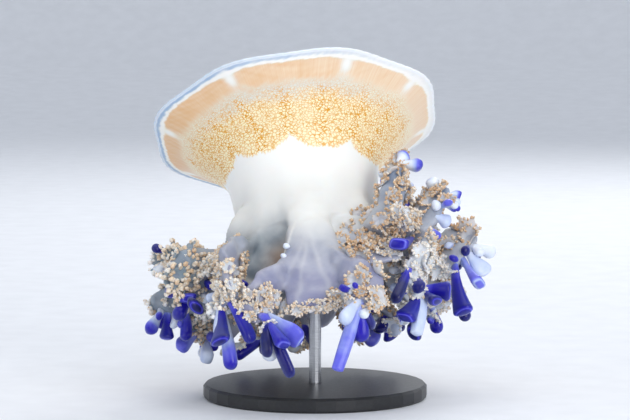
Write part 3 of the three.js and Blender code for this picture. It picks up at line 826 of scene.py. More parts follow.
def membrane_ribbon(places, facing, half_width):
    """A thin sheet that hangs from the stalk between two arms."""
    start, middle, end = (place(*spot) for spot in places)
    return Ribbon(start, middle, end, sideways(facing), half_width, MEMBRANE_THICKNESS)


def add_web_to_field(field, axes):
    """The thin skirt that hangs below the stalk and joins the arms."""
    reach = (SKIN_WEB_RADIUS[0] + 0.05) * BELL_RADIUS
    block, points = block_points(axes, (-reach, -reach, -WEB_DROP[0] * BELL_RADIUS - 3),
                                 (reach, reach, -0.86 * BELL_RADIUS))
    azimuth = np.degrees(azimuth_of(points)) % 360
    roots = np.array([arm[1] for arm in ARMS], dtype=float)
    ahead = np.concatenate([roots - 360, roots, roots + 360])
    gap = np.abs(azimuth[:, None] - ahead[None]).min(axis=1)
    away = np.clip(gap / WEB_SPREAD, 0, 1)
    hem = (WEB_DROP[0] + (WEB_DROP[1] - WEB_DROP[0]) * away ** 2) * BELL_RADIUS
    top = SKIN_WEB_TOP * BELL_RADIUS
    down = np.clip((-points[:, 2] - top) / (hem - top), 0, 1)
    middle = SKIN_WEB_RADIUS[0] + np.diff(SKIN_WEB_RADIUS) * down - WEB_THICKNESS / 2
    across = np.abs(radius_of(points) - middle * BELL_RADIUS)
    across = across - WEB_THICKNESS * BELL_RADIUS / 2 + 0.35
    above = np.clip(0.98 * BELL_RADIUS + points[:, 2], 0, None)
    distance = np.maximum(across, -points[:, 2] - hem) + 0.5 * above
    smooth_union(field, block, distance.reshape(field[block].shape), 3.0)


def add_stalk_foot_to_field(field, axes):
    """The lower part of the stalk, which the arms grow out of."""
    reach = 0.56 * BELL_RADIUS
    block, points = block_points(axes, (-reach, -reach, -1.05 * BELL_RADIUS),
                                 (reach, reach, FIELD_TOP))
    radius = radius_of(points)
    drop = drop_of(points)
    foot = np.maximum(radius - stalk_radius(drop, azimuth_of(points)) * BELL_RADIUS,
                      (drop - STALK_PROFILE[-1][1]) * BELL_RADIUS)
    hollow = np.maximum(radius - STALK_LIP_RADIUS * BELL_RADIUS,
                        (STALK_ROOF_DROP - drop) * BELL_RADIUS)
    distance = np.maximum(foot, -hollow)
    smooth_union(field, block, distance.reshape(field[block].shape), 1.0)


def clear_the_rod(field, axes):
    """Keeps the flesh clear of the stand's rod, which rises through it in the world's frame."""
    turn = np.array(POSE)[:3, :3]
    base = turn.T @ (np.array([0, 0, ROD_TOP]) - np.array(BELL_POSITION))
    direction = turn.T @ AXIS
    low = base - direction * 60 - 8
    high = base + 8
    block, points = block_points(axes, np.minimum(low, high) - 4, np.maximum(low, high) + 4)
    offset = points - base
    along = offset @ direction
    aside = np.linalg.norm(offset - along[:, None] * direction, axis=1)
    hole = np.maximum(aside - ROD_RADIUS - ROD_CLEARANCE, along - 0.5)
    field[block] = np.maximum(field[block], -hole.reshape(field[block].shape))


def cut_at_join(points, quads):
    """Takes off what lies above the join but for the arms beside the stalk, and fits the cut edge
    to the turned surface's last ring."""
    level = -JOIN_DROP * BELL_RADIUS
    middles = points[quads].mean(axis=1)
    beside = radius_of(middles) > STALK_CUT_RADIUS * BELL_RADIUS
    kept = (middles[:, 2] < level) | beside
    in_kept = np.zeros(len(points), dtype=bool)
    in_kept[quads[kept]] = True
    in_cut = np.zeros(len(points), dtype=bool)
    in_cut[quads[~kept]] = True
    edge = in_kept & in_cut
    azimuth = azimuth_of(points[edge])
    reach = stalk_radius(JOIN_DROP, azimuth) * BELL_RADIUS
    points[edge] = np.stack([reach * np.sin(azimuth), -reach * np.cos(azimuth),
                             np.full(len(reach), level)], axis=-1)
    number = np.cumsum(in_kept) - 1
    return points[in_kept], number[quads[kept]]


def limb_tone(points):
    """Colour of the arms: white where they leave the stalk, then greyer and more lilac, blue-green
    on the left where it is darkened as painted shade, slate and then pale on the right where the
    pale is partly painted light, painted shade in the window with a painted highlight along its
    hem, and pale folds in front."""
    drop = drop_of(points)
    reach = radius_of(points) / BELL_RADIUS
    azimuth = np.degrees(azimuth_of(points))
    front = np.exp(-((azimuth - 2) / 17) ** 4)
    out = np.clip(reach - 0.53, 0, 0.3)
    tone = mix(stalk_tone(drop), LIMB_GREY, smooth_step(0.8, 1.42, drop + 2.0 * out - 0.2 * front))
    tone = mix(tone, LIMB_LILAC, smooth_step(1.05, 1.62, drop - 0.006 * azimuth * front) * 0.9)
    side = points[:, 0] / BELL_RADIUS
    # Painted shade: the flesh on the left is darkened to blue-green, for the dark gaps between the
    # far-left arms.
    tone = mix(tone, LIMB_BLUE_SHADE, smooth_step(0.55, 0.95, -side) * 0.6)
    slate = smooth_step(0.4, 0.62, side) * smooth_step(*SLATE_REACHES, reach)
    tone = mix(tone, LIMB_SLATE, slate * (1 - smooth_step(0.9, 1.2, drop)))
    # The flesh low on the right is pale, and paler still as painted light from the front right.
    tone = mix(tone, LIMB_PALE_LIT, smooth_step(0.4, 0.75, side) * smooth_step(1.1, 1.4, drop) * 0.85)

    # Painted shade: the recess between the front arm and the next on its left is painted dark,
    # blue-green grey and brown.
    window = smooth_step(*WINDOW_BEGINS, azimuth) * (1 - smooth_step(*WINDOW_ENDS, azimuth))
    window = window * smooth_step(*WINDOW_DROPS, drop) * (1 - smooth_step(*WINDOW_REACHES, reach))
    hem_drop, hem_rise, hem_azimuth, half_width = WINDOW_HEM
    hem = hem_drop - hem_rise * ((azimuth - hem_azimuth) / half_width) ** 2
    window = window * (1 - smooth_step(hem - 0.02, hem + 0.02, drop))
    brown = smooth_step(*WINDOW_BROWN_BEGINS, azimuth) * smooth_step(1.05, 1.25, drop)
    tone = mix(tone, mix(WINDOW_SHADE_TEAL, WINDOW_SHADE_BROWN, brown), window * 0.85)
    # Painted highlight: a pale line along the window's hem, where its thin edge would catch the
    # light.
    painted_hem_highlight = np.exp(-((drop - hem) / 0.025) ** 2) * (np.abs(azimuth + 30) < 22) * (reach < 0.7)
    tone = mix(tone, LIMB_WHITE, painted_hem_highlight * 0.8)

    for spread in FAN_FOLDS:
        middle = spread * smooth_step(1.0, 1.7, drop) + 1.5 * ripple(points, 14, 5)
        fold = np.exp(-((azimuth - middle) / FAN_FOLD_WIDTH) ** 2)
        tone = mix(tone, LIMB_WHITE, 0.24 * fold * smooth_step(1.12, 1.35, drop) * front)
    cloud = 0.5 + 0.5 * ripple(points, 11, 8)
    return mix(tone, LIMB_WHITE, cloud * 0.12 * smooth_step(0.7, 1.0, drop))


def limb_map(points):
    """Where the arms lie on the skin's map: unrolled round the axis, below the stalk."""
    azimuth = azimuth_of(points) / (2 * math.pi) + 0.5
    depth = (-points[:, 2] - 40) / 90
    return np.stack([azimuth * 0.97 + 0.01, 0.66 + 0.32 * depth], axis=-1)


def add_arms(skin, arms):
    """The foot of the stalk, the arms and what hangs between them, as one mesh."""
    axes = field_axes()
    field = np.full([len(axis) for axis in axes], FIELD_OUTSIDE, dtype=np.float32)
    add_stalk_foot_to_field(field, axes)
    for _, trunk, _ in arms:
        add_ribbon_to_field(field, axes, trunk, 0.0, TRUNK_FLUTTER, 6.0)
    add_web_to_field(field, axes)
    for _, places, facing, half_width, *_ in MEMBRANES:
        ribbon = membrane_ribbon(places, facing, half_width)
        add_ribbon_to_field(field, axes, ribbon, 0.0, MEMBRANE_FLUTTER, 3.0)
    for _, _, branches in arms:
        for ribbon, _ in branches:
            add_ribbon_to_field(field, axes, ribbon, COAT_DEPTH, BRANCH_FLUTTER, 3.0)
    clear_the_rod(field, axes)

    grid = openvdb.FloatGrid(background=FIELD_OUTSIDE)
    grid.copyFromArray(field)
    cells, quads = grid.convertToQuads(0.0)
    points = cells.astype(float) * VOXEL + [axis[0] for axis in axes]
    points, quads = cut_at_join(points, quads.astype(int))
    low = smooth_step(0.85, 1.1, drop_of(points))
    points = points + 0.2 * (low * ripple(points, 7, 12))[:, None] * unit(np.ones(3))
    zeros = np.zeros(len(points))
    plan = points * (1, -1, -1) / BELL_RADIUS
    skin.add(points, quads, np.zeros((0, 3), dtype=int), limb_map(points),
             plan=plan, tone=limb_tone(points), network=zeros, rays=zeros, pattern=points,
             limb=smooth_step(0.64, 0.95, drop_of(points)))


# ---- Frills --------------------------------------------------------------------------------------

def sphere_points():
    """Points and triangles of a small round bead, 1 in radius."""
    shape = bmesh.new()
    bmesh.ops.create_icosphere(shape, subdivisions=1, radius=1.0)
    points = np.array([vert.co for vert in shape.verts])
    triangles = np.array([[vert.index for vert in face.verts] for face in shape.faces])
    shape.free()
    return points, triangles


BEAD_POINTS, BEAD_TRIANGLES = sphere_points()


def root_map(roots, count):
    """Map places of tufts: for each, count places round a small patch at its root's place on the
    unrolled skin."""
    roots = np.atleast_2d(roots)
    azimuth = azimuth_of(roots) / (2 * math.pi) + 0.5
    depth = np.clip((-roots[:, 2] - 20) / 115, 0, 1)
    centre = 0.02 + 0.96 * np.stack([azimuth, depth], axis=-1)
    turn = np.linspace(0, 2 * math.pi, count, endpoint=False)
    patch = PATCH / 2 * np.stack([np.cos(turn), np.sin(turn)], axis=-1)
    return (centre[:, None] + patch[None]).reshape(-1, 2)


def leftward(point, start, end):
    """0 where a point is less than start to the left, in bell radii, and 1 from end on."""
    return float(smooth_step(start, end, -point[0] / BELL_RADIUS))


def add_beads(frills, centres, outwards, radii, pale):
    """Round beads, each a little longer outwards than across."""
    stretch = 0.3 * (outwards @ BEAD_POINTS.T)[..., None] * outwards[:, None]
    points = centres[:, None] + (BEAD_POINTS + stretch) * radii[:, None, None]
    first = np.arange(len(centres))[:, None, None] * len(BEAD_POINTS)
    points = points.reshape(-1, 3)
    frills.add(points, np.zeros((0, 4), dtype=int), (BEAD_TRIANGLES + first).reshape(-1, 3),
               root_map(centres, len(BEAD_POINTS)), bead=np.ones(len(points)),
               pale=np.repeat(pale, len(BEAD_POINTS)), rise=np.ones(len(points)),
               teal=np.zeros(len(points)))


def ruffled_cup(root, normal, across, third, size):
    """The surface of a shallow ruffled cup, as a function of how far out on it a point is, the
    angle there and how far above it."""
    waves = rng.integers(*LOBE_WAVES)
    phase = rng.uniform(0, 2 * math.pi, 3)
    oval = rng.uniform(*LOBE_OVAL)
    cup = rng.uniform(*LOBE_CUP)
    lean = rng.uniform(-LOBE_LEAN, LOBE_LEAN, 2)

    def surface(row, angle, lift):
        ruffle = np.sin(waves * angle + phase[0]) * 0.15 + np.sin(2 * angle + phase[1]) * 0.12
        spread = size * row * (1 + 0.14 * np.sin((waves + 1) * angle + phase[2]) * row)
        height = size * (cup * row ** 2 + ruffle * row ** 2) + lift
        x = spread * np.cos(angle)
        y = spread * np.sin(angle) * oval
        height = height + lean[0] * x + lean[1] * y
        return (root + x[..., None] * across + y[..., None] * third
                + height[..., None] * normal)

    return surface


def add_lobe(frills, root, normal, across, size, pale):
    """A ruffled cup with knobs round its rim, and grains on each knob."""
    third = np.cross(normal, across)
    surface = ruffled_cup(root, normal, across, third, size)
    turn = np.linspace(0, 2 * math.pi, LOBE_SIDES, endpoint=False)
    angle, row = np.meshgrid(turn, np.linspace(0.25, 1, LOBE_ROWS))
    inner = surface(row, angle, LOBE_THICKNESS)
    outer = surface(row[::-1], angle[::-1], 0.0)
    rings = np.concatenate([inner, outer])
    start = surface(np.array([0.0]), np.array([0.0]), LOBE_THICKNESS)[0]
    end = surface(np.array([0.0]), np.array([0.0]), 0.0)[0]
    points, quads, triangles = closed_rings(rings, start, end)
    rise = np.concatenate([row.ravel(), row[::-1].ravel(), [0.0, 0.0]])
    # Its sheet darkens to blue-green towards the far left: painted shade of the dark gaps there.
    frills.add(points, quads, triangles, root_map(root, len(points)),
               bead=np.zeros(len(points)), pale=np.full(len(points), pale), rise=rise,
               teal=np.full(len(points), leftward(root, 0.45, 0.95)))

    gap = rng.uniform(*RIM_GAP)
    start = rng.uniform(0, 2 * math.pi)
    coarse = 1 + (COARSE_KNOBS - 1) * leftward(root, 0.4, 0.75)
    open_ring = right_side(root)
    for ring, share in KNOB_ROWS:
        share = share * (1 - open_ring * (ring < 1) * 0.7)
        count = max(3, int((2 * math.pi - gap) * size * ring * share / (KNOB_SPACING * coarse)))
        angle = start + np.linspace(0, 2 * math.pi - gap, count) + rng.uniform(-0.15, 0.15, count)
        radii = rng.uniform(*KNOB_RADIUS, count) * coarse
        centres = surface(np.full(count, ring), angle, LOBE_THICKNESS * 0.6)
        out = unit(np.cos(angle)[:, None] * across + np.sin(angle)[:, None] * third
                        + 0.5 * normal + rng.normal(0, 0.3, (count, 3)))
        centres = centres + out * radii[:, None] * 0.3
        shade = np.clip(pale + rng.normal(0, 0.16, count), 0, 1)
        add_beads(frills, centres, out, radii, shade)

        grain_out = unit(np.repeat(out + normal, GRAINS, axis=0)
                              + rng.normal(0, 0.9, (count * GRAINS, 3)))
        grains = (np.repeat(centres, GRAINS, axis=0)
                  + grain_out * np.repeat(radii, GRAINS)[:, None] * 0.95)
        grain_shade = np.clip(np.repeat(shade, GRAINS) + rng.normal(0.05, 0.3, len(grains)), 0, 1)
        add_beads(frills, grains, grain_out, rng.uniform(*GRAIN_RADIUS, len(grains)), grain_shade)


def right_side(point):
    """0 on the left and the back of the animal, 1 on its front right."""
    in_front = smooth_step(-0.35, 0.0, -point[1] / BELL_RADIUS)
    return float(smooth_step(0.1, 0.35, point[0] / BELL_RADIUS) * in_front)


def arm_paleness(point):
    """How white the beads are: tan in front, whiter low down and towards the far left. Low on the
    right the whiteness is partly painted light.
    """
    drop = drop_of(point)
    # Low on the right: pale flesh, whitened further as painted light
    low_right_pale_and_lit = smooth_step(0.3, 0.52, point[0] / BELL_RADIUS) * smooth_step(1.2, 1.38, drop)
    low_left = leftward(point, 0.1, 0.4) * smooth_step(1.35, 1.55, drop)
    left = leftward(point, 0.3, 0.7) + 0.8 * leftward(point, 0.8, 1.1)
    return float(np.clip(0.12 + 0.75 * low_right_pale_and_lit + 0.3 * low_left + 0.34 * left, 0, 1))


def bare_place(point):
    """Whether a place is on the smooth fan of the front arm, in the gap between the stalk and the
    front right arm, or too near the stand's rod."""
    azimuth = np.degrees(azimuth_of(point))
    drop = drop_of(point)
    rod = to_world(point)[:2] / MM
    on_fan = drop < np.interp(azimuth, *BARE_FRONT, left=0, right=0)
    low, high = BARE_STALK_AZIMUTHS
    beside_stalk = low < azimuth < high and drop < BARE_STALK_DROP
    return on_fan or beside_stalk or np.hypot(*rod) < BARE_ROD


def lobe_size(root):
    """How large a lobe is at its root: wider where it is an open ring."""
    return rng.uniform(*LOBE_SIZE) * (1 + WIDE_LOBES * right_side(root) * (1 - arm_paleness(root)))


def outer_side(ribbon, t):
    """Which way the face of a ribbon that is turned away from the axis looks."""
    thick = ribbon.frame(t)[2]
    return thick * (1.0 if thick @ (ribbon.point(t) * (1, 1, 0)) >= 0 else -1.0)


def add_lobe_on(frills, ribbon, t, x_share, face, inset):
    """A lobe at t along a ribbon, x_share of the way to its edge, on its outer face (1), its
    inner one (-1) or its very edge (0)."""
    along, wide, _ = ribbon.frame(t)
    outside = outer_side(ribbon, t) * face
    half_width = along_row(ribbon.half_width, t) * BELL_RADIUS - inset
    half_thickness = along_row(ribbon.half_thickness, t) * BELL_RADIUS - inset
    root = (ribbon.point(t) + wide * half_width * x_share
            + outside * half_thickness * math.sqrt(1 - 0.8 * min(1.0, x_share ** 2)))
    left_out = max(THINNED_RIGHT * right_side(root), THINNED_LEFT * leftward(root, 0.45, 0.75))
    if bare_place(root) or rng.uniform() < left_out:
        return
    normal = unit(wide * x_share * (1.2 - 0.6 * abs(face)) + outside + along * 0.3 * t
                  + rng.normal(0, 0.22, 3))
    across = unit(along - normal * (along @ normal))
    beneath = x_share == -1
    root = root + normal * (1.6 if beneath else -0.8)
    add_lobe(frills, root, normal, across, lobe_size(root),
             min(1.0, arm_paleness(root) + (0.4 if beneath else 0)))


def add_branch_frills(frills, ribbon, rows, bare_rows, bare_to):
    """Rows of lobes along both edges and both faces of a branch, of which some begin late."""
    count = max(3, round(np.linalg.norm(ribbon.end - ribbon.start) / LOBE_SPACING))
    for row, (x_share, face) in enumerate(rows):
        for i in range(count):
            t = (i + 0.5 + 0.5 * (row % 2) + rng.uniform(-0.25, 0.25)) / count
            if x_share not in bare_rows or t > bare_to:
                add_lobe_on(frills, ribbon, float(np.clip(t, 0.04, 1)), x_share, face, COAT_DEPTH)


def add_trunk_frills(frills, trunk):
    """Lobes scattered over the outer face of a trunk, denser towards its foot."""
    for i in range(TRUNK_LOBES):
        t = 0.42 + 0.58 * math.sqrt((i + rng.uniform(0, 1)) / TRUNK_LOBES)
        add_lobe_on(frills, trunk, t, rng.uniform(-1.0, 1.0), 1, 0.0)
    for i in range(FOOT_LOBES):
        x_share = (i + rng.uniform(0.2, 0.8)) / FOOT_LOBES * 2.4 - 1.2
        add_lobe_on(frills, trunk, rng.uniform(0.9, 1.0), x_share, 1, 0.0)
        add_lobe_under(frills, trunk, x_share * 0.8)
    for i in range(INNER_LOBES):
        t = 0.6 + 0.4 * (i + rng.uniform(0, 1)) / INNER_LOBES
        add_lobe_on(frills, trunk, t, rng.uniform(-0.8, 0.8), -1, 0.0)


def add_lobe_under(frills, trunk, x_share):
    """A lobe on the blunt lower end of a trunk."""
    along, wide, _ = trunk.frame(1.0)
    root = (trunk.end + wide * trunk.half_width[-1] * BELL_RADIUS * x_share
            + along * trunk.half_thickness[-1] * BELL_RADIUS * 0.8)
    if bare_place(root):
        return
    normal = unit(along + outer_side(trunk, 1.0) * rng.uniform(0.2, 1.2) + rng.normal(0, 0.2, 3))
    add_lobe(frills, root - normal * 0.8, normal, unit(wide - normal * (wide @ normal)),
             lobe_size(root), min(1.0, arm_paleness(root) + UNDER_PALER))


def add_membrane_frills(frills, arm):
    """Lobes over the outer face of the membranes that go with an arm."""
    for owner, places, facing, half_width, lobes, (high, low), (left, right) in MEMBRANES:
        ribbon = membrane_ribbon(places, facing, half_width)
        for i in range(lobes if owner == arm else 0):
            t = high + (low - high) * math.sqrt((i + rng.uniform(0, 1)) / lobes)
            add_lobe_on(frills, ribbon, t, left + (right - left) * ((i * 0.618) % 1), 1, 0.0)


def add_curls(frills, arm, surface):
    """The clusters that go with an arm, on the skin that is met from outside but for the stalk."""
    for owner, azimuth, drop, spread, count in CURLS:
        for i in range(count if owner == arm else 0):
            away = spread * math.sqrt((i + 0.5) / count)
            aside = math.degrees(away * math.cos(i * CURL_TURN) / 0.7)
            inwards = -outward(azimuth + aside)
            start = place(azimuth + aside, 1.5, drop + away * math.sin(i * CURL_TURN))
            root, normal, _, _ = surface.ray_cast(start, inwards)
            if root is None or root.xy.length < STALK_CUT_RADIUS * BELL_RADIUS:
                continue
            root = np.array(root)
            normal = unit(np.array(normal) - 0.3 * inwards + rng.normal(0, 0.25, 3))
            add_lobe(frills, root, normal, unit(np.cross(normal, AXIS)), rng.uniform(*CURL_SIZE),
                     arm_paleness(root))


# ---- Clubs ---------------------------------------------------------------------------------------

def club_root(ribbon, tip):
    """The point nearest to a club's tip, of those along the middle and both edges of a branch."""
    candidates = []
    for i in range(1, CLUB_ROOT_STEPS):
        t = i / CLUB_ROOT_STEPS
        wide = ribbon.frame(t)[1]
        edge = CLUB_ROOT_REACH * along_row(ribbon.half_width, t) * BELL_RADIUS
        candidates += [ribbon.point(t) + wide * offset for offset in (-edge, 0, edge)]
    return min(candidates, key=lambda point: np.linalg.norm(point - tip))


def add_club(clubs, index, total, root, tip, kind, shade, scale):
    """A swollen filament, slightly bent and flattened, and rounded at its tip. On the map it has
    one of the cells of a square grid."""
    tip = root + (tip - root) * CLUB_DRAWN_IN
    length = np.linalg.norm(tip - root)
    along = (tip - root) / length
    flat_ways = unit(np.cross(along, unit(rng.normal(size=3))))
    third = np.cross(along, flat_ways)
    station = np.sin(np.linspace(0, 0.985, CLUB_RINGS) * math.pi / 2)
    girth = spline_through(np.array(CLUB_GIRTH[kind]), station) * BELL_RADIUS * scale
    rounding = min(0.4, CLUB_ROUNDING[kind] * girth[-1] / length)
    beyond = np.clip((station - 1 + rounding) / rounding, 0, 1)
    girth = girth * np.sqrt(1 - beyond ** 2.2)
    turn = np.linspace(0, 2 * math.pi, CLUB_SIDES, endpoint=False)
    waves = rng.integers(2, 5)
    wobble = 1 + 0.08 * station[:, None] * np.sin(waves * turn + rng.uniform(0, 2 * math.pi))[None]
    bow = rng.uniform(-CLUB_BOW, CLUB_BOW, 2) * length
    bend = np.sin(math.pi * station)[:, None]
    centre = (root + along * length * station[:, None]
              + (flat_ways * bow[0] + third * bow[1]) * bend)
    around = np.cos(turn)[:, None] * flat_ways + np.sin(turn)[:, None] * third * CLUB_FLATNESS[kind]
    rings = centre[:, None] + around[None] * (girth[:, None] * wobble)[..., None]
    points, quads, triangles = closed_rings(rings, root, tip)

    tone = along_row(SHADES[shade], station)
    if kind in FLARED_CLUBS:
        tone = tone * (1 - 0.6 * np.exp(-((station - CLUB_RIM_AT) / 0.014) ** 2))
    tone = np.repeat(tone, CLUB_SIDES)
    tone = np.concatenate([tone, [SHADES[shade][0], SHADES[shade][-1]]])
    side = math.ceil(math.sqrt(total))
    corner = np.array([index % side, index // side]) / side
    u, v = np.meshgrid(np.linspace(0.05, 0.95, CLUB_SIDES), np.linspace(0.05, 0.95, CLUB_RINGS))
    cell = np.stack([u.ravel(), v.ravel()], axis=-1)
    cell = np.concatenate([cell, [[0.5, 0.02], [0.5, 0.98]]])
    clubs.add(points, quads, triangles, corner + cell / side, blue=tone)


def spline_through(knots, t):
    """A smooth curve of the second column over the first, through every knot."""
    x, y = knots[:, 0], knots[:, 1]
    slope = np.gradient(y, x)
    i = np.clip(np.searchsorted(x, t, side="right") - 1, 0, len(x) - 2)
    span = x[i + 1] - x[i]
    f = (t - x[i]) / span
    return (y[i] * (2 * f ** 3 - 3 * f ** 2 + 1) + slope[i] * span * (f ** 3 - 2 * f ** 2 + f)
            + y[i + 1] * (3 * f ** 2 - 2 * f ** 3) + slope[i + 1] * span * (f ** 3 - f ** 2))


def extra_clubs(ribbon):
    """Small clubs scattered along a branch: (root, tip, kind, shade, scale)."""
    made = []
    for _ in range(EXTRA_CLUBS):
        t = rng.uniform(0.3, 1.0)
        along, wide, thick = ribbon.frame(t)
        side = rng.choice((-1, 1))
        across = rng.uniform(0.0, 0.6) * along_row(ribbon.half_width, t) * BELL_RADIUS
        root = ribbon.point(t) - wide * across
        direction = unit(thick * side * rng.uniform(0.3, 1) - wide * rng.uniform(0.2, 1)
                         + along * rng.uniform(-0.2, 0.6))
        tip = root + direction * rng.uniform(*EXTRA_CLUB_LENGTH)
        kind = rng.choice(EXTRA_CLUB_KINDS)
        shade = rng.choice(EXTRA_CLUB_SHADES)
        scale = rng.uniform(*EXTRA_CLUB_SCALE)
        if not bare_place(tip):
            made.append((root, tip, str(kind), str(shade), scale))
    return made


# ---- Materials -----------------------------------------------------------------------------------

class Nodes:
    """Builds one material's nodes with short calls."""

    def __init__(self, name, roughness):
        self.material = bpy.data.materials.new(name)
        self.material.use_nodes = True
        self.tree = self.material.node_tree
        self.shader = self.tree.nodes["Principled BSDF"]
        self.shader.inputs["Roughness"].default_value = roughness

    def position(self):
        """Where on the object a point is, in metres."""
        return self.node("ShaderNodeNewGeometry").outputs["Position"]

    def colour(self, value):
        self.link(value, self.shader.inputs["Base Color"])

    def node(self, kind, **settings):
        made = self.tree.nodes.new(kind)
        for key, value in settings.items():
            setattr(made, key, value)
        return made

    def link(self, source, target):
        self.tree.links.new(source, target)

    def put(self, target, value):
        """Links an output to an input, or sets the input to a plain value."""
        if isinstance(value, bpy.types.NodeSocket):
            self.link(value, target)
        else:
            target.default_value = value

    def attribute(self, name, output="Fac"):
        return self.node("ShaderNodeAttribute", attribute_name=name).outputs[output]

    def math(self, operation, first, second=0.0, third=0.0, clamp=False):
        made = self.node("ShaderNodeMath", operation=operation, use_clamp=clamp)
        for socket, value in zip(made.inputs, (first, second, third)):
            self.put(socket, value)
        return made.outputs[0]

    def vector_math(self, operation, *values):
        made = self.node("ShaderNodeVectorMath", operation=operation)
        for socket, value in zip(made.inputs, values):
            self.put(socket, value)
        return made.outputs[0]

    def noise(self, vector, scale, detail=2.0, distortion=0.0, output="Fac"):
        made = self.node("ShaderNodeTexNoise")
        self.link(vector, made.inputs["Vector"])
        made.inputs["Scale"].default_value = scale
        made.inputs["Detail"].default_value = detail
        made.inputs["Distortion"].default_value = distortion
        return made.outputs[output]

    def ramp(self, factor, stops):
        """A colour ramp through (position, linear colour) stops."""
        made = self.node("ShaderNodeValToRGB")
        elements = made.color_ramp.elements
        while len(elements) < len(stops):
            elements.new(0.5)
        for element, (position, colour) in zip(elements, stops):
            element.position = position
            element.color = (*colour, 1.0)
        self.link(factor, made.inputs[0])
        return made.outputs["Color"]

    def mix(self, share, first, second, blend="MIX"):
        made = self.node("ShaderNodeMix", data_type="RGBA", blend_type=blend)
        self.put(made.inputs[0], share)
        self.put(made.inputs[6], first if not isinstance(first, np.ndarray) else (*first, 1.0))
        self.put(made.inputs[7], second if not isinstance(second, np.ndarray) else (*second, 1.0))
        return made.outputs[2]

    def bump(self, height, strength, distance):
        made = self.node("ShaderNodeBump")
        made.inputs["Strength"].default_value = strength
        made.inputs["Distance"].default_value = distance
        self.link(height, made.inputs["Height"])
        self.link(made.outputs[0], self.shader.inputs["Normal"])

    def jelly(self, weight, depth, coat=0.0):
        """Light that sinks in and comes out redder, and a wet coat."""
        self.shader.inputs["Subsurface Weight"].default_value = weight
        self.shader.inputs["Subsurface Radius"].default_value = (1.0, 0.75, 0.6)
        self.shader.inputs["Subsurface Scale"].default_value = depth
        self.shader.inputs["IOR"].default_value = 1.35
        self.shader.inputs["Coat Weight"].default_value = coat
        self.shader.inputs["Coat Roughness"].default_value = 0.18


def skin_material():
    """The skin's own colours under three patterns: the bell's network, the streaks of its band
    and the faint veins of the arms."""
    n = Nodes("jelly_skin", 0.42)
    n.jelly(0.35, 0.0025, 0.25)
    plan = n.attribute("plan", "Vector")
    tone = n.attribute("tone", "Vector")
    network = n.attribute("network")
    rays = n.attribute("rays")
    limb = n.attribute("limb")
    pattern = n.attribute("pattern", "Vector")

    flat = n.vector_math("MULTIPLY", plan, (BELL_RADIUS, BELL_RADIUS, BELL_RADIUS))
    shift = n.vector_math("MULTIPLY", n.noise(pattern, 0.5, output="Color"), (1.6, 1.6, 1.6))
    cells = n.node("ShaderNodeTexVoronoi", feature="DISTANCE_TO_EDGE")
    n.link(n.vector_math("ADD", pattern, shift), cells.inputs["Vector"])
    cells.inputs["Scale"].default_value = 0.8
    line = n.math("SUBTRACT", 1.25, n.math("MULTIPLY", cells.outputs["Distance"], 8.0), clamp=True)
    patches = n.noise(flat, 0.25, 3.0)
    lift = n.math("MULTIPLY_ADD", patches, 1.4, 0.2)
    strength = n.math("MULTIPLY", n.math("MULTIPLY", line, network), lift, clamp=True)
    colour = n.mix(strength, tone, NET_ORANGE)

    direction = n.vector_math("NORMALIZE", n.vector_math("MULTIPLY", plan, (1.0, 1.0, 0.0)))
    spokes = n.vector_math("MULTIPLY", direction, (52.0, 52.0, 0.0))
    spokes = n.vector_math("ADD", spokes, n.vector_math("MULTIPLY", plan, (2.0, 2.0, 0.0)))
    streak = n.noise(spokes, 1.6, 3.0)
    streak_share = n.math("MULTIPLY", rays, n.math("MULTIPLY_ADD", streak, 1.3, -0.5), clamp=True)
    colour = n.mix(streak_share, colour, BAND_ORANGE)

    veins = n.noise(flat, 0.1, 3.0, 0.3)
    vein_share = n.math("MULTIPLY", limb, n.math("MULTIPLY_ADD", veins, 0.7, -0.3), clamp=True)
    colour = n.mix(vein_share, colour, WHITE)
    n.colour(colour)
    n.bump(n.math("ADD", n.math("MULTIPLY", strength, -0.5), n.math("MULTIPLY", veins, 0.6)),
           0.35, 0.0004)
    return n.material


def frill_material():
    """Grey-blue sheets, darkened to blue-green towards the far left as painted shade, and tan
    beads;
    both are whiter where the frill is pale, which low on the right is partly painted light.
    """
    n = Nodes("frill_beads", 0.36)
    n.jelly(0.3, 0.0012, 0.3)
    bead = n.attribute("bead")
    pale = n.attribute("pale")
    rise = n.attribute("rise")
    position = n.position()
    cloud = n.noise(position, 420.0, 2.0)
    tan = n.ramp(n.math("MULTIPLY_ADD", cloud, 0.5, n.math("MULTIPLY", pale, 0.75)),
                 [(0.0, srgb(190, 142, 104)), (0.35, srgb(219, 184, 148)),
                  (0.65, srgb(240, 220, 196)), (1.0, srgb(250, 246, 240))])
    sheet = n.ramp(n.math("MULTIPLY_ADD", cloud, 0.5, n.math("MULTIPLY", rise, 0.5)),
                   [(0.1, srgb(148, 158, 174)), (0.55, srgb(186, 188, 194)),
                    (1.0, srgb(218, 206, 192))])
    sheet = n.mix(n.math("MULTIPLY", pale, 1.1, clamp=True), sheet, srgb(230, 233, 238))
    # Painted shade: the sheets darken to blue-green towards the far left.
    sheet = n.mix(n.math("MULTIPLY", n.attribute("teal"), 0.75), sheet, srgb(84, 116, 134))
    n.colour(n.mix(bead, sheet, tan))
    n.bump(n.noise(position, 1400.0, 3.0), 0.3, 0.0002)
    return n.material


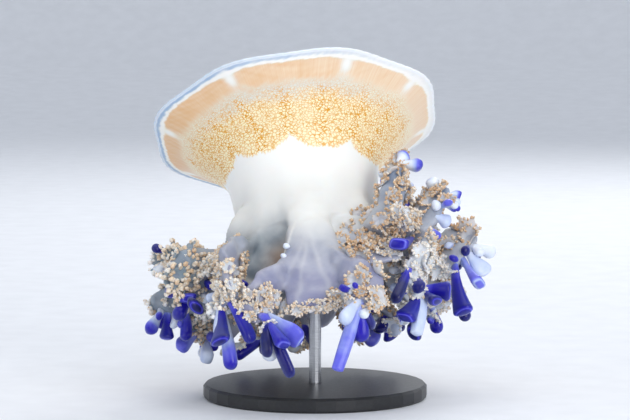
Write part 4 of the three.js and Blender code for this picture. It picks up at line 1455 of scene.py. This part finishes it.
def club_material():
    """White to navy jelly, with a pale sheen painted into its colour at its edges."""
    n = Nodes("club_jelly", 0.28)
    n.jelly(0.12, 0.001, 0.25)
    blue = n.attribute("blue")
    position = n.position()
    cloud = n.noise(position, 260.0, 3.0)
    depth = n.math("ADD", blue, n.math("MULTIPLY_ADD", cloud, 0.16, -0.08), clamp=True)
    colour = n.ramp(depth, [(0.0, srgb(232, 238, 244)), (0.18, srgb(180, 198, 236)),
                            (0.36, srgb(100, 102, 218)), (0.6, srgb(28, 10, 172)),
                            (0.82, srgb(8, 0, 132)), (1.0, srgb(2, 0, 72))])
    # Painted sheen: the colour turns pale blue where the surface turns edge-on to the view.
    edge = n.node("ShaderNodeLayerWeight")
    edge.inputs["Blend"].default_value = 0.18
    painted_sheen_share = n.math("MULTIPLY", edge.outputs["Facing"], 0.5)
    colour = n.mix(painted_sheen_share, colour, srgb(150, 168, 250))
    n.colour(colour)
    n.bump(cloud, 0.15, 0.0003)
    return n.material


def stand_materials():
    """Black lacquer for the base, and brushed steel for the rod."""
    lacquer = Nodes("satin_black_lacquer", 0.38)
    speckle = lacquer.noise(lacquer.position(), 900.0, 3.0)
    lacquer.colour(lacquer.ramp(speckle, [(0.3, srgb(26, 27, 30)), (0.7, srgb(36, 37, 40))]))
    lacquer.link(lacquer.math("MULTIPLY_ADD", speckle, 0.12, 0.32),
                 lacquer.shader.inputs["Roughness"])
    lacquer.bump(speckle, 0.12, 0.0001)

    steel = Nodes("brushed_steel", 0.3)
    steel.shader.inputs["Metallic"].default_value = 1.0
    stretched = steel.vector_math("MULTIPLY", steel.position(), (1.0, 1.0, 30.0))
    lines = steel.noise(stretched, 260.0, 3.0)
    steel.colour(steel.ramp(lines, [(0.2, srgb(150, 152, 156)), (0.8, srgb(196, 198, 202))]))
    steel.link(steel.math("MULTIPLY_ADD", lines, 0.16, 0.22), steel.shader.inputs["Roughness"])
    return lacquer.material, steel.material


def stage_material():
    """Pale paper with a faint grain."""
    n = Nodes("pale_paper", 0.85)
    grain = n.noise(n.position(), 60.0, 3.0)
    n.colour(n.ramp(grain, [(0.3, srgb(230, 232, 236)), (0.7, srgb(235, 237, 241))]))
    return n.material


# ---- Stage, light and camera ---------------------------------------------------------------------

def make_camera():
    """The camera in front of the bell, which looks a little down at the animal's middle."""
    bell = BELL_POSITION * MM
    aim = bell + CAMERA_AIM * MM
    tilt = math.radians(CAMERA_ELEVATION)
    data = bpy.data.cameras.new("camera")
    data.lens = CAMERA_LENS
    data.clip_start = 0.05
    data.clip_end = 50
    camera = bpy.data.objects.new("camera", data)
    camera.location = bell + Vector((0, -math.cos(tilt), math.sin(tilt))) * CAMERA_DISTANCE
    camera.rotation_mode = "QUATERNION"
    camera.rotation_quaternion = (aim - camera.location).to_track_quat("-Z", "Y")
    bpy.context.scene.collection.objects.link(camera)
    bpy.context.scene.camera = camera


def make_stage():
    """A floor that turns up into a wall all round, so that every view ends on it."""
    shape = bmesh.new()
    turns = [2 * math.pi * i / FLOOR_SIDES for i in range(FLOOR_SIDES)]
    rings = [[shape.verts.new((radius * math.cos(turn), radius * math.sin(turn), height))
              for turn in turns]
             for radius, height in FLOOR_PROFILE]
    shape.faces.new(rings[0])
    for lower, upper in zip(rings, rings[1:]):
        for i in range(FLOOR_SIDES):
            j = (i + 1) % FLOOR_SIDES
            shape.faces.new((lower[i], upper[i], upper[j], lower[j]))
    mesh = bpy.data.meshes.new("studio_floor")
    shape.to_mesh(mesh)
    shape.free()
    mesh.shade_smooth()
    mesh.materials.append(stage_material())
    floor = bpy.data.objects.new("studio_floor", mesh)
    bpy.context.scene.collection.objects.link(floor)


def make_lamp(name, azimuth, elevation, distance, size, power):
    """A soft square lamp that looks at the animal's middle."""
    tilt = math.radians(elevation)
    data = bpy.data.lights.new(name, "AREA")
    data.shape = "SQUARE"
    data.size = size
    data.energy = power
    lamp = bpy.data.objects.new(name, data)
    direction = outward(azimuth) * math.cos(tilt) + AXIS * math.sin(tilt)
    lamp.location = LAMP_AIM + distance * Vector(direction)
    lamp.rotation_mode = "QUATERNION"
    lamp.rotation_quaternion = (LAMP_AIM - lamp.location).to_track_quat("-Z", "Y")
    lamp.visible_camera = False
    bpy.context.scene.collection.objects.link(lamp)


def make_lights():
    """The lamps, and a pale sky that fills the shadows."""
    for name, settings in LAMPS.items():
        make_lamp(name, *settings)
    world = bpy.data.worlds.new("studio")
    bpy.context.scene.world = world
    world.use_nodes = True
    background = world.node_tree.nodes["Background"]
    background.inputs["Color"].default_value = WORLD_COLOUR
    background.inputs["Strength"].default_value = WORLD_STRENGTH
    bpy.context.scene.view_settings.view_transform = "Standard"


# ---- Assembly ------------------------------------------------------------------------------------

def make_skin(arms):
    """Builds the skin, and returns its surface to lay things on."""
    skin = Gathering()
    add_body(skin)
    add_arms(skin, arms)
    piece = skin.build("skin", skin_material())
    flesh = [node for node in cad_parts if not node.startswith("stand_")]
    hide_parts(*flesh)
    return BVHTree.FromPolygons(np.concatenate(skin.points).tolist(),
                                np.concatenate(skin.quads).tolist())


def make_frills(arms, surface):
    """One piece of frills for each arm."""
    material = frill_material()
    for name, trunk, branches in arms:
        frills = Gathering()
        add_trunk_frills(frills, trunk)
        add_membrane_frills(frills, name)
        add_curls(frills, name, surface)
        for side, (ribbon, _) in enumerate(branches):
            rows = SLIM_BRANCH_ROWS if (name, side) in SLIM_BRANCHES else BRANCH_ROWS
            add_branch_frills(frills, ribbon, rows, *BARE_ROWS.get((name, side), ((), 0.0)))
        frills.build(f"frills_{name}", material)


def make_clubs(arms):
    """Every club in one piece: the CAD's, the small ones, and the two knobs by the front arm."""
    listed = []
    for _, _, branches in arms:
        for ribbon, clubs in branches:
            for *spot, kind, shade in clubs:
                tip = place(*spot)
                listed.append((club_root(ribbon, tip), tip, kind, shade, 1.0))
            listed += extra_clubs(ribbon)
    outwards, down = WINDOW_KNOB_SIZE
    for azimuth, reach, drop in WINDOW_KNOBS:
        root = place(azimuth, reach - outwards, drop)
        tip = place(azimuth, reach, drop + down)
        listed.append((root, tip, "knob", "white", WINDOW_KNOB_SCALE))
    gathered = Gathering()
    for index, club in enumerate(listed):
        add_club(gathered, index, len(listed), *club)
    gathered.build("clubs", club_material())


def dress_stand():
    """The stand keeps its own solids, in new materials."""
    lacquer, steel = stand_materials()
    for node, material in (("stand_base", lacquer), ("stand_rod", steel)):
        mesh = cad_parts[node].data
        mesh.materials.clear()
        mesh.materials.append(material)


make_camera()
make_stage()
make_lights()
arms = arm_ribbons()
surface = make_skin(arms)
make_frills(arms, surface)
make_clubs(arms)
dress_stand()
